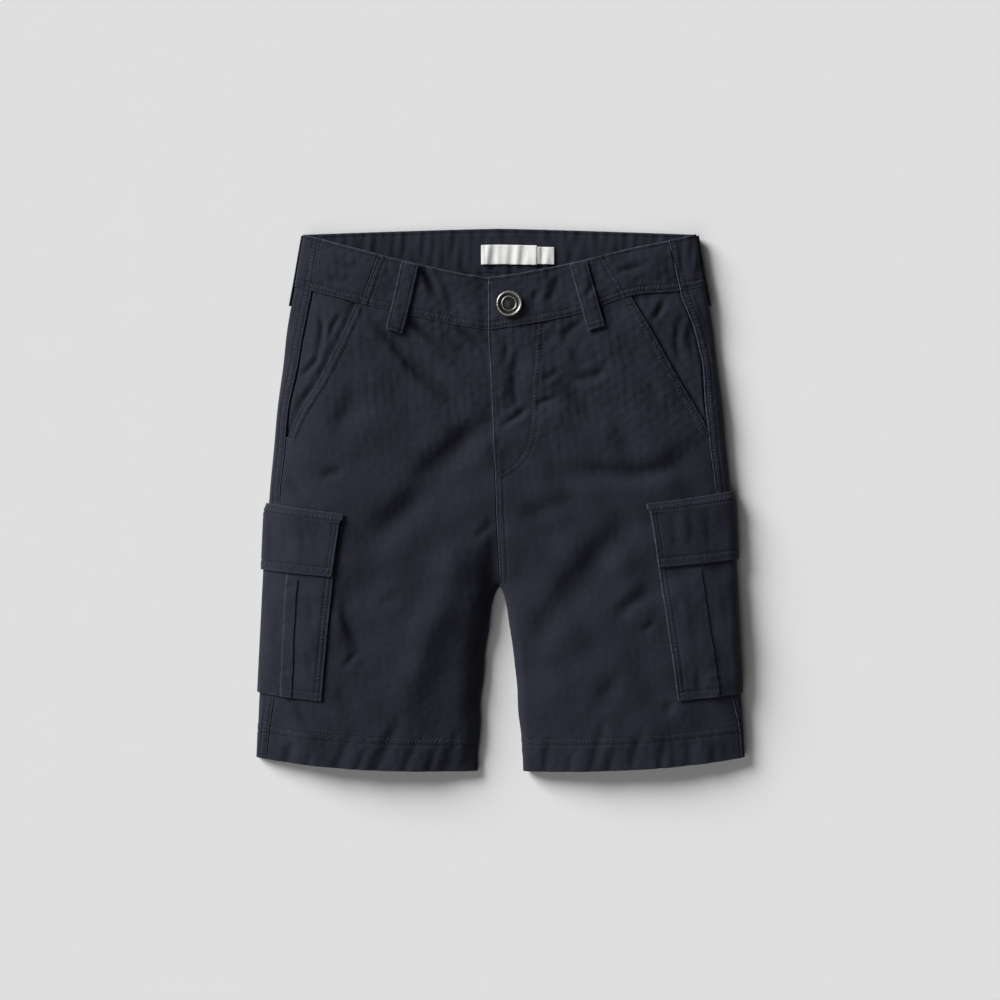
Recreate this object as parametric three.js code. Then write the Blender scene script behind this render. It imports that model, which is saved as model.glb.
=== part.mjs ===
// Child's cargo shorts laid flat with the front up, in millimetres.
// +X points to the wearer's left leg (the right of a front view), +Y to the waist and +Z up.
// The origin is on the surface that the shorts lie on, under the middle of their outline.

import * as THREE from 'three';

// Driving dimensions

const CLOTH = 1.5; // thickness of one wall of cloth
const SEAM_GAP = 0.3; // clear space between two pieces that are sewn together
const LAYER_GAP = 0.5; // clear space between a panel and what lies on it

const SIDE_LENGTH = 401.2; // from the hem to the top of the waistband, along the side
const HEM_SIDE_Y = -197.4; // where the side meets the hem
const BAND_LEVEL = 361.1; // seam of the waistband, above the hem
const CROTCH_LEVEL = 139.5;
const FLY_END_LEVEL = 238;

const INSEAM_GAP = 17.9; // half of the space between the legs at the hem
const INSEAM_POWER = 0.53; // how quickly the legs part below the crotch
const CROTCH_RISE = 46; // distance over which the front rises beside the crotch
const CROTCH_FOLD = 0.75; // share of a section's fold that the cloth has at the crotch
const BAND_LIFT = 3.2; // height at which belt loops hold the back of the waistband

const FLY_LAP = 12; // width of the wearer's right front that lies under the fly
const BAND_LAP = 26; // the same on the waistband
const LAP_FADE = 30; // distance over which a lapped edge comes back down to the panel
const BAND_EXTRA = 0.7; // how far the waistband stands out from the panels
const FELLED_EXTRA = 0.6; // how far the felled side seams stand out

// One row for each section across the shorts, from the hem to the waist. level is the height of
// its side end above the hem, dip how far it falls towards the middle, lean the middle's x,
// fold the radius at the side, and height the top of the front above the surface below.
const SECTION_COLUMNS = ['level', 'halfWidth', 'dip', 'backDip', 'dipPower', 'lean', 'fold', 'height'];
const SECTIONS = [
  [0, 187.0, 10.6, 10.6, 2.7, 0, 5.5, 17],
  [44, 185.0, 10.0, 10.0, 2.65, 0, 7, 21],
  [95, 182.4, 9.3, 9.3, 2.6, 0, 7.5, 23],
  [139.5, 180.2, 8.8, 8.8, 2.4, 0, 7, 23],
  [197.5, 177.4, 15, 4, 2.0, -2.7, 6.5, 23.5],
  [238, 173.7, 21, 1, 1.8, -3.8, 6, 23],
  [268, 171.0, 25, -1, 1.6, -5, 6, 22],
  [301, 166.6, 28, -2.5, 1.4, -6.4, 5.5, 21],
  [329, 163.5, 31, -3.5, 1.3, -7.6, 5.2, 20],
  [361.1, 157.4, 33.9, -4.7, 1.22, -9.2, 5, 18.5],
  [401.2, 150.5, 33.9, -4.6, 1.22, -9.2, 4.8, 17],
].map((row) => Object.fromEntries(row.map((value, i) => [SECTION_COLUMNS[i], value])));

// How tightly each half is folded, as a share of its section's fold, and how far the front rises
// from there: along the side, and along the inseam at the hem.
const EDGES = {
  right: { sideFold: 0.5, sideRise: 60, inseamFold: 0.45, inseamRise: 66 },
  left: { sideFold: 0.85, sideRise: 90, inseamFold: 0.9, inseamRise: 80 },
};

// The gaping pocket mouth on the wearer's left pulls the waistband's seam up beside it.
const PULL = { level: 361, along: 0.34, lift: 6, levelSpan: 31, alongSpan: 0.17 };

// How far the side seams lie inside the outline, from the hem to the waist.
const SIDE_SEAMS = [
  { level: 0, right: 9, left: 2.5 },
  { level: 28, right: 11, left: 4 },
  { level: 46, right: 13, left: 8 },
  { level: 203, right: 9, left: 12 },
  { level: 270, right: 9, left: 13.5 },
  { level: 305, right: 11.5, left: 11.3 },
  { level: 334, right: 13.3, left: 14.8 },
  { level: 355, right: 13.4, left: 19.6 },
  { level: 401.2, right: 13.5, left: 22 },
];

// Edges of the two slanted front pockets, from the waistband to the side seam.
const POCKET_MOUTHS = {
  right: [
    { x: -109.3, y: 152.1 },
    { x: -123.2, y: 119.7 },
    { x: -139.4, y: 89.7 },
    { x: -153.2, y: 68.1 },
    { x: -162.5, y: 47.5 },
  ],
  left: [
    { x: 99.8, y: 155.5 },
    { x: 116.3, y: 128.2 },
    { x: 131.7, y: 100.5 },
    { x: 147.1, y: 75.8 },
    { x: 160.0, y: 52.0 },
  ],
};

// Seams across the waistband that carry on the line of the pocket mouths, as x at both of its edges.
const BAND_SEAMS = {
  right: { bottomX: -106.5, topX: -93 },
  left: { bottomX: 98.5, topX: 80.5 },
};

// The largest soft folds of the front: a line from one place to another, its depth and its width.
// A fold of negative depth is a ridge.
const FOLDS = [
  { fromX: -86, fromY: 134, toX: -36, toY: 84, depth: 2.6, width: 6.5 },
  { fromX: -61, fromY: 134, toX: -11, toY: 106, depth: 1.6, width: 6 },
  { fromX: -7, fromY: 58, toX: -95, toY: -32, depth: 3.2, width: 11 },
  { fromX: -105, fromY: 83, toX: -126, toY: 37, depth: 1.5, width: 8 },
  { fromX: -150, fromY: 42, toX: -128, toY: 40, depth: 1.2, width: 7 },
  { fromX: -31, fromY: -40, toX: -82, toY: -172, depth: -2.2, width: 14 },
  { fromX: -117, fromY: -70, toX: -106, toY: -122, depth: 1.8, width: 6 },
  { fromX: 15, fromY: 107, toX: 11, toY: 70, depth: 1.8, width: 6 },
  { fromX: 26, fromY: 71, toX: 46, toY: 77, depth: 1.2, width: 6 },
  { fromX: 57, fromY: 84, toX: 88, toY: 57, depth: 1.8, width: 8 },
  { fromX: 44, fromY: 13, toX: 98, toY: 20, depth: 2.4, width: 8 },
  { fromX: 96, fromY: 17, toX: 150, toY: 25, depth: 2.0, width: 7 },
  { fromX: 98, fromY: -24, toX: 40, toY: -97, depth: 3.0, width: 11 },
  { fromX: 130, fromY: -61, toX: 88, toY: -88, depth: 1.8, width: 8 },
  { fromX: 89, fromY: -136, toX: 77, toY: -168, depth: 1.3, width: 7 },
];

// Each cargo pocket's place on the cloth, as levels and as girths from the side fold. Its front
// edge and its pleat lean, so they have a girth at the top and one at the bottom. pleatFade is the
// distance over which the pleat's front side comes back down to the pocket.
const CARGO = {
  right: {
    flapTop: 195, flapBottom: 144, pocketBottom: 50,
    flapFront: [63, 58], pocketFront: [59, 54], rear: [-1, -1.5], pleat: [23.3, 22.4], pleatFade: 0.6,
  },
  left: {
    flapTop: 204, flapBottom: 152, pocketBottom: 50,
    flapFront: [69.5, 62], pocketFront: [62, 49], rear: [1, -5], pleat: [28.5, 19.5], pleatFade: 12,
  },
};
const PLEAT_WIDTH = 9;
const PLEAT_HEIGHT = 1.1;
const POCKET_FULLNESS = 1.6; // how far the middle of a pocket stands off its leg
const POCKET_TOP_DROP = 8; // the pocket starts this far below the seam of its flap

const SIDES = [
  { name: 'right', sign: -1 },
  { name: 'left', sign: 1 },
];

// Small helpers

const clamp01 = (value) => Math.min(Math.max(value, 0), 1);
const smooth = (value) => clamp01(value) ** 2 * (3 - 2 * clamp01(value));
const roundRise = (distance, span) => Math.sqrt(1 - (1 - clamp01(distance / span)) ** 2);
const slopeRise = (distance, span) => 1 - (1 - clamp01(distance / span)) ** 2;

// Straight-line reading of one column of a table whose rows rise in `key`.
function readLine(table, key, column, at) {
  const next = table.findIndex((row) => row[key] >= at);
  if (next <= 0) {
    return table[next < 0 ? table.length - 1 : 0][column];
  }
  const below = table[next - 1];
  const above = table[next];
  const share = (at - below[key]) / (above[key] - below[key]);
  return below[column] + (above[column] - below[column]) * share;
}

// Smooth reading of one column of SECTIONS, with slopes taken from the rows on either side.
function readSection(column, level) {
  const last = SECTIONS.length - 1;
  const at = THREE.MathUtils.clamp(level, SECTIONS[0].level, SECTIONS[last].level);
  let i = 0;
  while (i < last - 1 && SECTIONS[i + 1].level < at) {
    i += 1;
  }
  const slopeAt = (k) => {
    const a = SECTIONS[Math.max(k - 1, 0)];
    const b = SECTIONS[Math.min(k + 1, last)];
    return (b[column] - a[column]) / (b.level - a.level);
  };
  const span = SECTIONS[i + 1].level - SECTIONS[i].level;
  const t = (at - SECTIONS[i].level) / span;
  const start = (2 * t ** 3 - 3 * t ** 2 + 1) * SECTIONS[i][column];
  const end = (3 * t ** 2 - 2 * t ** 3) * SECTIONS[i + 1][column];
  const startSlope = (t ** 3 - 2 * t ** 2 + t) * span * slopeAt(i);
  const endSlope = (t ** 3 - t ** 2) * span * slopeAt(i + 1);
  return start + end + startSlope + endSlope;
}

// Depth of the soft folds at one place of the front.
function foldDepth(x, y) {
  let depth = 0;
  for (const fold of FOLDS) {
    const runX = fold.toX - fold.fromX;
    const runY = fold.toY - fold.fromY;
    const along = ((x - fold.fromX) * runX + (y - fold.fromY) * runY) / (runX ** 2 + runY ** 2);
    const near = clamp01(along);
    const away = Math.hypot(x - fold.fromX - runX * near, y - fold.fromY - runY * near);
    const taper = 0.35 + 0.65 * Math.sin(Math.PI * near);
    depth += fold.depth * taper * Math.exp(-((away / fold.width) ** 2));
  }
  return depth;
}

// The outer face of the cloth. turn runs round one half of a section: -1 is the middle of the
// back or the inseam, 0 the side fold, and 1 the middle of the front or the inseam.
function surface(sign, level, turn) {
  if (Math.abs(turn) > 1) {
    const over = Math.sign(turn) * 2;
    return level > CROTCH_LEVEL ? surface(-sign, level, over - turn) : surface(sign, level, turn - over);
  }
  const front = turn > 0;
  const along = (1 - Math.cos(Math.PI * turn)) / 2;
  const below = Math.max(CROTCH_LEVEL - level, 0) / CROTCH_LEVEL;
  const parted = SEAM_GAP / 2 + (INSEAM_GAP - SEAM_GAP / 2) * below ** INSEAM_POWER;
  const innerX = (front ? readSection('lean', level) : 0) + sign * parted;
  const outerX = sign * readSection('halfWidth', level);
  const x = outerX + (innerX - outerX) * along;

  const dip = readSection(front ? 'dip' : 'backDip', level);
  let y = HEM_SIDE_Y + level - dip * (1 - (1 - along) ** readSection('dipPower', level));
  if (front && sign > 0) {
    const above = (level - PULL.level) / PULL.levelSpan;
    const beside = (along - PULL.along) / PULL.alongSpan;
    y += PULL.lift * Math.exp(-(above ** 2) - beside ** 2);
  }

  const fromSide = Math.abs(outerX - x);
  const fromInner = Math.hypot(innerX - x, Math.max(level - CROTCH_LEVEL, 0));
  const edge = EDGES[sign < 0 ? 'right' : 'left'];
  const inseamFold = CROTCH_FOLD + (edge.inseamFold - CROTCH_FOLD) * smooth(below / 0.35);
  const tightness = edge.sideFold + (inseamFold - edge.sideFold) * along;
  const fold = readSection('fold', level) * tightness;
  const base = BAND_LIFT * smooth((level - 322) / 30);
  const turned = roundRise(fromSide, fold) * roundRise(fromInner, fold);
  if (!front) {
    return new THREE.Vector3(x, y, base + fold * (1 - turned));
  }
  const inseamRise = CROTCH_RISE + (edge.inseamRise - CROTCH_RISE) * below;
  const risen = slopeRise(fromSide, edge.sideRise) * slopeRise(fromInner, inseamRise);
  const rise = readSection('height', level) - base - 2 * fold;
  const z = base + fold * (1 + turned) + (rise - foldDepth(x, y)) * risen;
  return new THREE.Vector3(x, y, z);
}

// Lengths round a section, from the side fold: positive over the front, negative over the back.
const ROUND_STEPS = 120;
const measuredRows = new Map();

function measuredRow(sign, level) {
  const key = `${sign} ${level.toFixed(4)}`;
  if (!measuredRows.has(key)) {
    const measure = (direction) => {
      const lengths = [0];
      let last = surface(sign, level, 0);
      for (let i = 1; i <= ROUND_STEPS; i += 1) {
        const next = surface(sign, level, (direction * i) / ROUND_STEPS);
        lengths.push(lengths[i - 1] + next.distanceTo(last));
        last = next;
      }
      return lengths;
    };
    measuredRows.set(key, { front: measure(1), back: measure(-1) });
  }
  return measuredRows.get(key);
}

function frontGirth(sign, level) {
  return measuredRow(sign, level).front[ROUND_STEPS];
}

function backGirth(sign, level) {
  return measuredRow(sign, level).back[ROUND_STEPS];
}

function turnAt(sign, level, girth) {
  const row = measuredRow(sign, level);
  const lengths = girth > 0 ? row.front : row.back;
  const length = Math.abs(girth);
  let i = 0;
  while (i < ROUND_STEPS - 1 && lengths[i + 1] < length) {
    i += 1;
  }
  const share = (length - lengths[i]) / (lengths[i + 1] - lengths[i]);
  return (Math.sign(girth) * (i + Math.min(share, 1))) / ROUND_STEPS;
}

function girthAt(sign, level, turn) {
  const row = measuredRow(sign, level);
  const lengths = turn > 0 ? row.front : row.back;
  const place = Math.abs(turn) * ROUND_STEPS;
  const i = Math.min(Math.floor(place), ROUND_STEPS - 1);
  return Math.sign(turn) * (lengths[i] + (lengths[i + 1] - lengths[i]) * (place - i));
}

// The point `offset` outside the cloth's outer face. A girth that runs past the middle of the
// body carries on over its other half.
function clothPoint(sign, level, girth, offset) {
  const front = girth > 0;
  const half = front ? frontGirth(sign, level) : backGirth(sign, level);
  if (Math.abs(girth) > half && level > CROTCH_LEVEL) {
    const other = front ? frontGirth(-sign, level) : backGirth(-sign, level);
    const rest = other + half - Math.abs(girth);
    return clothPoint(-sign, level, front ? rest : -rest, offset);
  }
  const turn = turnAt(sign, level, girth);
  const step = 0.004;
  const round = surface(sign, level, turn + step).sub(surface(sign, level, turn - step));
  const up = surface(sign, level + 0.5, turn).sub(surface(sign, level - 0.5, turn));
  const normal = up.cross(round).multiplyScalar(sign).normalize();
  return surface(sign, level, turn).addScaledVector(normal, offset);
}

// Level and girth of a place on the front that a front view shows at x, y.
function locate(sign, x, y) {
  const turnOf = (level) => {
    const innerX = readSection('lean', level);
    const outerX = sign * readSection('halfWidth', level);
    return Math.acos(1 - 2 * clamp01((x - outerX) / (innerX - outerX))) / Math.PI;
  };
  let low = 0;
  let high = SIDE_LENGTH;
  for (let i = 0; i < 40; i += 1) {
    const level = (low + high) / 2;
    if (surface(sign, level, turnOf(level)).y < y) {
      low = level;
    } else {
      high = level;
    }
  }
  return { level: low, girth: girthAt(sign, low, turnOf(low)) };
}

// Solids

// Levels from one height to another, with steps of at most `step` between the stops.
function levelsThrough(stops, step) {
  const levels = [stops[0]];
  for (let i = 1; i < stops.length; i += 1) {
    const count = Math.max(1, Math.ceil((stops[i] - stops[i - 1]) / step));
    for (let k = 1; k <= count; k += 1) {
      levels.push(stops[i - 1] + ((stops[i] - stops[i - 1]) * k) / count);
    }
  }
  return levels;
}

// One closed wall from two grids of points, outer and inner, with the same rows and columns.
function wallGeometry(outer, inner) {
  const rows = outer.length;
  const columns = outer[0].length;
  const positions = [];
  for (const grid of [outer, inner]) {
    for (const row of grid) {
      for (const point of row) {
        positions.push(point.x, point.y, point.z);
      }
    }
  }
  const onOuter = (i, j) => i * columns + j;
  const onInner = (i, j) => rows * columns + i * columns + j;
  const indices = [];
  const quad = (a, b, c, d) => indices.push(a, b, c, a, c, d);
  for (let i = 0; i < rows - 1; i += 1) {
    for (let j = 0; j < columns - 1; j += 1) {
      quad(onOuter(i, j), onOuter(i, j + 1), onOuter(i + 1, j + 1), onOuter(i + 1, j));
      quad(onInner(i, j), onInner(i + 1, j), onInner(i + 1, j + 1), onInner(i, j + 1));
    }
  }
  const top = rows - 1;
  for (let j = 0; j < columns - 1; j += 1) {
    quad(onOuter(0, j), onInner(0, j), onInner(0, j + 1), onOuter(0, j + 1));
    quad(onOuter(top, j), onOuter(top, j + 1), onInner(top, j + 1), onInner(top, j));
  }
  const end = columns - 1;
  for (let i = 0; i < rows - 1; i += 1) {
    quad(onOuter(i, 0), onOuter(i + 1, 0), onInner(i + 1, 0), onInner(i, 0));
    quad(onOuter(i, end), onInner(i, end), onInner(i + 1, end), onOuter(i + 1, end));
  }
  return new THREE.BufferGeometry()
    .setAttribute('position', new THREE.Float32BufferAttribute(positions, 3))
    .setIndex(indices);
}

// A piece of cloth between the girths from(level) and to(level). shares places its columns,
// inner and outer give its two faces' offsets, and both may vary over level and girth.
function clothPiece({ name, material, sign, levels, from, to, shares, inner, outer }) {
  const grid = (offset) => levels.map((level) => {
    const placed = typeof shares === 'function' ? shares(level) : shares;
    return placed.map((share) => {
      const girth = from(level) + (to(level) - from(level)) * share;
      return clothPoint(sign, level, girth, offset({ level, girth }));
    });
  });
  // The walk round a section turns the other way on the wearer's right half.
  const ordered = sign > 0 ? [grid(inner), grid(outer)] : [grid(outer), grid(inner)];
  const piece = new THREE.Mesh(wallGeometry(ordered[0], ordered[1]), material);
  piece.name = name;
  return piece;
}

const evenShares = (count) => Array.from({ length: count + 1 }, (_, i) => i / count);

// Materials

function cloth(color) {
  return new THREE.MeshStandardMaterial({ color, roughness: 0.9, metalness: 0 });
}

const NAVY_TWILL = cloth(0x272a32);
const FADED_TWILL = cloth(0x30333d);
const LABEL_WHITE = cloth(0xe9e9e6);
const DARK_METAL = new THREE.MeshStandardMaterial({ color: 0x4a4b4e, roughness: 0.4, metalness: 0.9 });

// Lines on the cloth, as girths that vary with the level

function sideSeam({ name, sign }, level) {
  const inset = readLine(SIDE_SEAMS, 'level', name, level);
  const width = readSection('halfWidth', level) + sign * -readSection('lean', level);
  return girthAt(sign, level, Math.acos(1 - (2 * inset) / width) / Math.PI);
}

function pocketMouth({ name, sign }) {
  const line = POCKET_MOUTHS[name].map(({ x, y }) => locate(sign, x, y)).reverse();
  return { endLevel: line[0].level, girth: (level) => readLine(line, 'level', 'girth', level) };
}

// Share of the fly's lap at a level: none at the end of the fly, all of it a little above.
const flyRaised = (level) => smooth((level - FLY_END_LEVEL + 4) / 12);
const flyOpened = (level) => smooth((level - FLY_END_LEVEL - 8) / 12);

// How far a front is raised (wearer's left) or sunk (wearer's right) beside the lapped middle.
function lapShift(sign, level, girth, lap, amount) {
  const fromMiddle = frontGirth(sign, level) - girth;
  const fade = sign > 0 ? (fromMiddle - lap - 3) / LAP_FADE : fromMiddle / FLY_LAP;
  return sign * amount * (1 - smooth(fade));
}

const FRONT_LAP_SHIFT = (CLOTH + LAYER_GAP) / 2;
const BAND_LAP_SHIFT = (CLOTH + BAND_EXTRA + LAYER_GAP) / 2;

// Panels

// Front and back share their rows, closest together round the crotch, so their seams match.
function panelLevels(side) {
  const crotch = [-15, -6, -2, 0, 1.5, 5.5, 13].map((step) => CROTCH_LEVEL + step);
  const seamBends = SIDE_SEAMS.map((row) => row.level).filter((level) => level < BAND_LEVEL);
  const flyEnd = [FLY_END_LEVEL + 8, FLY_END_LEVEL + 20];
  const stops = [...seamBends, ...crotch, ...flyEnd, pocketMouth(side).endLevel, BAND_LEVEL - SEAM_GAP / 2];
  return levelsThrough(stops.sort((a, b) => a - b), 17);
}

function frontPanel(side) {
  const { name, sign } = side;
  const mouth = pocketMouth(side);
  const lap = (level) => (sign < 0 ? FLY_LAP * flyOpened(level) : 0);
  const shift = ({ level, girth }) => (
    lapShift(sign, level, girth, FLY_LAP, FRONT_LAP_SHIFT * flyRaised(level))
  );
  return clothPiece({
    name: `front_${name}`,
    material: NAVY_TWILL,
    sign,
    levels: panelLevels(side),
    from: (level) => {
      const seam = sideSeam(side, level) + SEAM_GAP / 2;
      return level > mouth.endLevel ? Math.max(seam, mouth.girth(level)) : seam;
    },
    to: (level) => frontGirth(sign, level) - (level > CROTCH_LEVEL ? 0 : SEAM_GAP / 2) + lap(level),
    shares: [0, 0.07, 0.14, 0.21, 0.29, 0.38, 0.47, 0.56, 0.65, 0.74, 0.82, 0.88, 0.93, 0.96, 0.98, 1],
    inner: (at) => shift(at) - CLOTH,
    outer: shift,
  });
}

// The back turns over the side fold. Its felled edge stands a little out on the front, and lies
// flat where the cargo pocket covers it.
function backPanel(side) {
  const { name, sign } = side;
  const { pocketBottom, flapTop } = CARGO[name];
  const felledWidth = 11;
  const clearOfPocket = (level) => (
    smooth((pocketBottom - 2 - level) / 4) + smooth((level - flapTop - 2) / 4)
  );
  const felled = ({ level, girth }) => smooth((felledWidth - sideSeam(side, level) + girth) / 4);
  return clothPiece({
    name: `back_${name}`,
    material: NAVY_TWILL,
    sign,
    levels: panelLevels(side),
    from: (level) => (level > CROTCH_LEVEL ? 0 : SEAM_GAP / 2) - backGirth(sign, level),
    to: (level) => sideSeam(side, level) - SEAM_GAP / 2,
    shares: [0, 0.02, 0.04, 0.07, 0.2, 0.45, 0.7, 0.84, 0.865, 0.885, 0.9, 0.915, 0.93, 0.95, 0.975, 1],
    inner: () => -CLOTH,
    outer: (at) => FELLED_EXTRA * clearOfPocket(at.level) * felled(at),
  });
}

// The facing seen inside a slanted pocket, which lies under the front and the back's edge.
function pocketFacing(side) {
  const { name, sign } = side;
  const mouth = pocketMouth(side);
  const under = 12;
  const sunk = CLOTH + LAYER_GAP;
  return clothPiece({
    name: `pocket_facing_${name}`,
    material: NAVY_TWILL,
    sign,
    levels: levelsThrough([mouth.endLevel - 8, mouth.endLevel, BAND_LEVEL - SEAM_GAP / 2], 11),
    from: (level) => sideSeam(side, level) - 3,
    to: (level) => Math.max(mouth.girth(level), sideSeam(side, level)) + under,
    shares: evenShares(6),
    inner: () => -sunk - CLOTH,
    outer: () => -sunk,
  });
}

// Waistband

const BAND_BOTTOM = BAND_LEVEL + SEAM_GAP / 2;
const bandLevels = levelsThrough([BAND_BOTTOM, SIDE_LENGTH], 14);

function bandSeam({ name, sign }, level) {
  const { bottomX, topX } = BAND_SEAMS[name];
  const x = bottomX + ((topX - bottomX) * (level - BAND_BOTTOM)) / (SIDE_LENGTH - BAND_BOTTOM);
  const innerX = readSection('lean', level);
  const outerX = sign * readSection('halfWidth', level);
  return girthAt(sign, level, Math.acos(1 - (2 * (x - outerX)) / (innerX - outerX)) / Math.PI);
}

function bandFront(side) {
  const { name, sign } = side;
  const lap = sign < 0 ? BAND_LAP : -SEAM_GAP / 2;
  const shift = ({ level, girth }) => lapShift(sign, level, girth, BAND_LAP, BAND_LAP_SHIFT);
  return clothPiece({
    name: `waistband_front_${name}`,
    material: NAVY_TWILL,
    sign,
    levels: bandLevels,
    from: (level) => bandSeam(side, level) + SEAM_GAP / 2,
    to: (level) => frontGirth(sign, level) + lap,
    shares: evenShares(13),
    inner: (at) => shift(at) - CLOTH,
    outer: (at) => shift(at) + BAND_EXTRA,
  });
}

function bandSide(side) {
  const { name, sign } = side;
  return clothPiece({
    name: `waistband_side_${name}`,
    material: NAVY_TWILL,
    sign,
    levels: bandLevels,
    from: (level) => sideSeam(side, level) + SEAM_GAP / 2,
    to: (level) => bandSeam(side, level) - SEAM_GAP / 2,
    shares: evenShares(6),
    inner: () => -CLOTH,
    outer: () => BAND_EXTRA,
  });
}

// The back of the waistband runs from one side seam round the whole back to the other.
function bandBack() {
  const [right, left] = SIDES;
  const halfShares = [0, 0.018, 0.036, 0.05, 0.062, 0.074, 0.086, 0.1, 0.125, 0.18, 0.26, 0.34, 0.42];
  return clothPiece({
    name: 'waistband_back',
    material: NAVY_TWILL,
    sign: right.sign,
    levels: bandLevels,
    from: (level) => {
      const wholeBack = backGirth(right.sign, level) + backGirth(left.sign, level);
      return SEAM_GAP / 2 - wholeBack - sideSeam(left, level);
    },
    to: (level) => sideSeam(right, level) - SEAM_GAP / 2,
    shares: [...halfShares, 0.5, ...halfShares.map((share) => 1 - share).reverse()],
    inner: () => -CLOTH,
    outer: () => BAND_EXTRA,
  });
}

// Cargo pockets

const between = ([top, bottom], from, to) => (
  (level) => bottom + ((top - bottom) * (level - to)) / (from - to)
);

function cargoPocket({ name, sign }) {
  const size = CARGO[name];
  const front = between(size.pocketFront, size.flapBottom, size.pocketBottom);
  const rear = between(size.rear, size.flapTop, size.pocketBottom);
  const pleat = between(size.pleat, size.flapBottom, size.pocketBottom);
  // Columns on both edges of the pleat keep its steps crisp while the pocket leans.
  const shares = (level) => {
    const width = front(level) - rear(level);
    const start = (pleat(level) - rear(level)) / width;
    const end = start + PLEAT_WIDTH / width;
    const step = 0.3 / width;
    const before = [0, 0.12, 0.25, 0.4, 0.6, 0.8];
    const after = [0.2, 0.4, 0.6, 0.78, 0.9, 1];
    return [
      ...before.map((share) => share * (start - step)), start - step, start + step, (start + end) / 2,
      end - step, end + step, ...after.map((share) => end + step + (1 - end - step) * share),
    ];
  };
  const bulge = ({ level, girth }) => {
    const across = Math.min(girth - rear(level), front(level) - girth);
    const upward = Math.min(level - size.pocketBottom, size.flapBottom - 4 - level);
    return POCKET_FULLNESS * smooth(across / 16) * smooth(upward / 16);
  };
  const pleated = ({ level, girth }) => {
    const past = girth - pleat(level);
    const risen = past > 0 ? 1 - smooth((past - PLEAT_WIDTH) / size.pleatFade + 0.5) : 0;
    return PLEAT_HEIGHT * risen * smooth((size.flapBottom - 2 - level) / 4);
  };
  return clothPiece({
    name: `cargo_pocket_${name}`,
    material: FADED_TWILL,
    sign,
    levels: levelsThrough([size.pocketBottom, size.pocketBottom + 16, size.flapBottom - 20, size.flapBottom,
      size.flapTop - POCKET_TOP_DROP], 11),
    from: rear,
    to: front,
    shares,
    inner: (at) => LAYER_GAP + bulge(at),
    outer: (at) => LAYER_GAP + CLOTH + bulge(at) + pleated(at),
  });
}

// A flap is sewn to the leg along its top and lies on the top of its pocket.
function cargoFlap({ name, sign }) {
  const size = CARGO[name];
  const onPocket = ({ level }) => (CLOTH + LAYER_GAP) * smooth((size.flapTop - level) / POCKET_TOP_DROP);
  return clothPiece({
    name: `cargo_flap_${name}`,
    material: FADED_TWILL,
    sign,
    levels: levelsThrough([size.flapBottom, size.flapTop - POCKET_TOP_DROP, size.flapTop - 4,
      size.flapTop], 9),
    from: between(size.rear, size.flapTop, size.pocketBottom),
    to: between(size.flapFront, size.flapTop, size.flapBottom),
    shares: [0, 0.05, 0.1, 0.15, 0.2, 0.28, 0.4, 0.6, 0.8, 1],
    inner: (at) => LAYER_GAP + onPocket(at),
    outer: (at) => LAYER_GAP + CLOTH + onPocket(at),
  });
}

// Belt loops

const LOOP_WIDTH = 13.5;
const LOOP_BOTTOM = 346;
const LOOP_THICKNESS = 1.4;
const LOOP_ARCH = 0.6; // how far the middle of a loop stands off the waistband

// Girths of the loops' middles at the top of the waistband and at their lower end.
const LOOPS = [
  { name: 'belt_loop_front_right', sign: -1, top: 87.8, bottom: 85.3 },
  { name: 'belt_loop_front_left', sign: 1, top: 96.4, bottom: 92.2 },
  { name: 'belt_loop_side_right', sign: -1, top: -5, bottom: -5 },
  { name: 'belt_loop_side_left', sign: 1, top: -5, bottom: -5 },
];

function beltLoop({ name, sign, top, bottom }) {
  const middle = between([top, bottom], SIDE_LENGTH, LOOP_BOTTOM);
  const arch = ({ level }) => {
    const share = (level - LOOP_BOTTOM) / (SIDE_LENGTH - LOOP_BOTTOM);
    return LOOP_ARCH * smooth(Math.min(share, 1 - share) / 0.2);
  };
  return clothPiece({
    name,
    material: NAVY_TWILL,
    sign,
    levels: levelsThrough([LOOP_BOTTOM, SIDE_LENGTH - 1], 9),
    from: (level) => middle(level) - LOOP_WIDTH / 2,
    to: (level) => middle(level) + LOOP_WIDTH / 2,
    shares: evenShares(4),
    inner: (at) => BAND_EXTRA + LAYER_GAP + arch(at),
    outer: (at) => BAND_EXTRA + LAYER_GAP + LOOP_THICKNESS + arch(at),
  });
}

function backLoop() {
  const middle = -backGirth(1, SIDE_LENGTH);
  return beltLoop({ name: 'belt_loop_back', sign: 1, top: middle, bottom: -backGirth(1, LOOP_BOTTOM) });
}

// Labels inside the back of the waistband, as x limits and as distances down from its top

const LABELS = [
  { name: 'waist_label', fromX: -14.7, toX: 28.3, top: 12.5, bottom: 27.7 },
  { name: 'size_tag', fromX: 28.6, toX: 41.6, top: 13.5, bottom: 27 },
];
const LABEL_THICKNESS = 1;

function insideLabel({ name, fromX, toX, top, bottom }) {
  const under = CLOTH + LAYER_GAP;
  return clothPiece({
    name,
    material: LABEL_WHITE,
    sign: 1,
    levels: levelsThrough([SIDE_LENGTH - bottom, SIDE_LENGTH - top], 8),
    from: (level) => fromX - backGirth(1, level),
    to: (level) => toX - backGirth(1, level),
    shares: evenShares(Math.ceil((toX - fromX) / 5)),
    inner: () => -under - LABEL_THICKNESS,
    outer: () => -under,
  });
}

// Shank button, turned about its own axis: a stem, a cap with a rim, a dished ring and a boss

const BUTTON = { x: 6.9, y: 149.4, radius: 9.8, stemRadius: 3.5, stemHeight: 1.2, capHeight: 2.6 };

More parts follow.
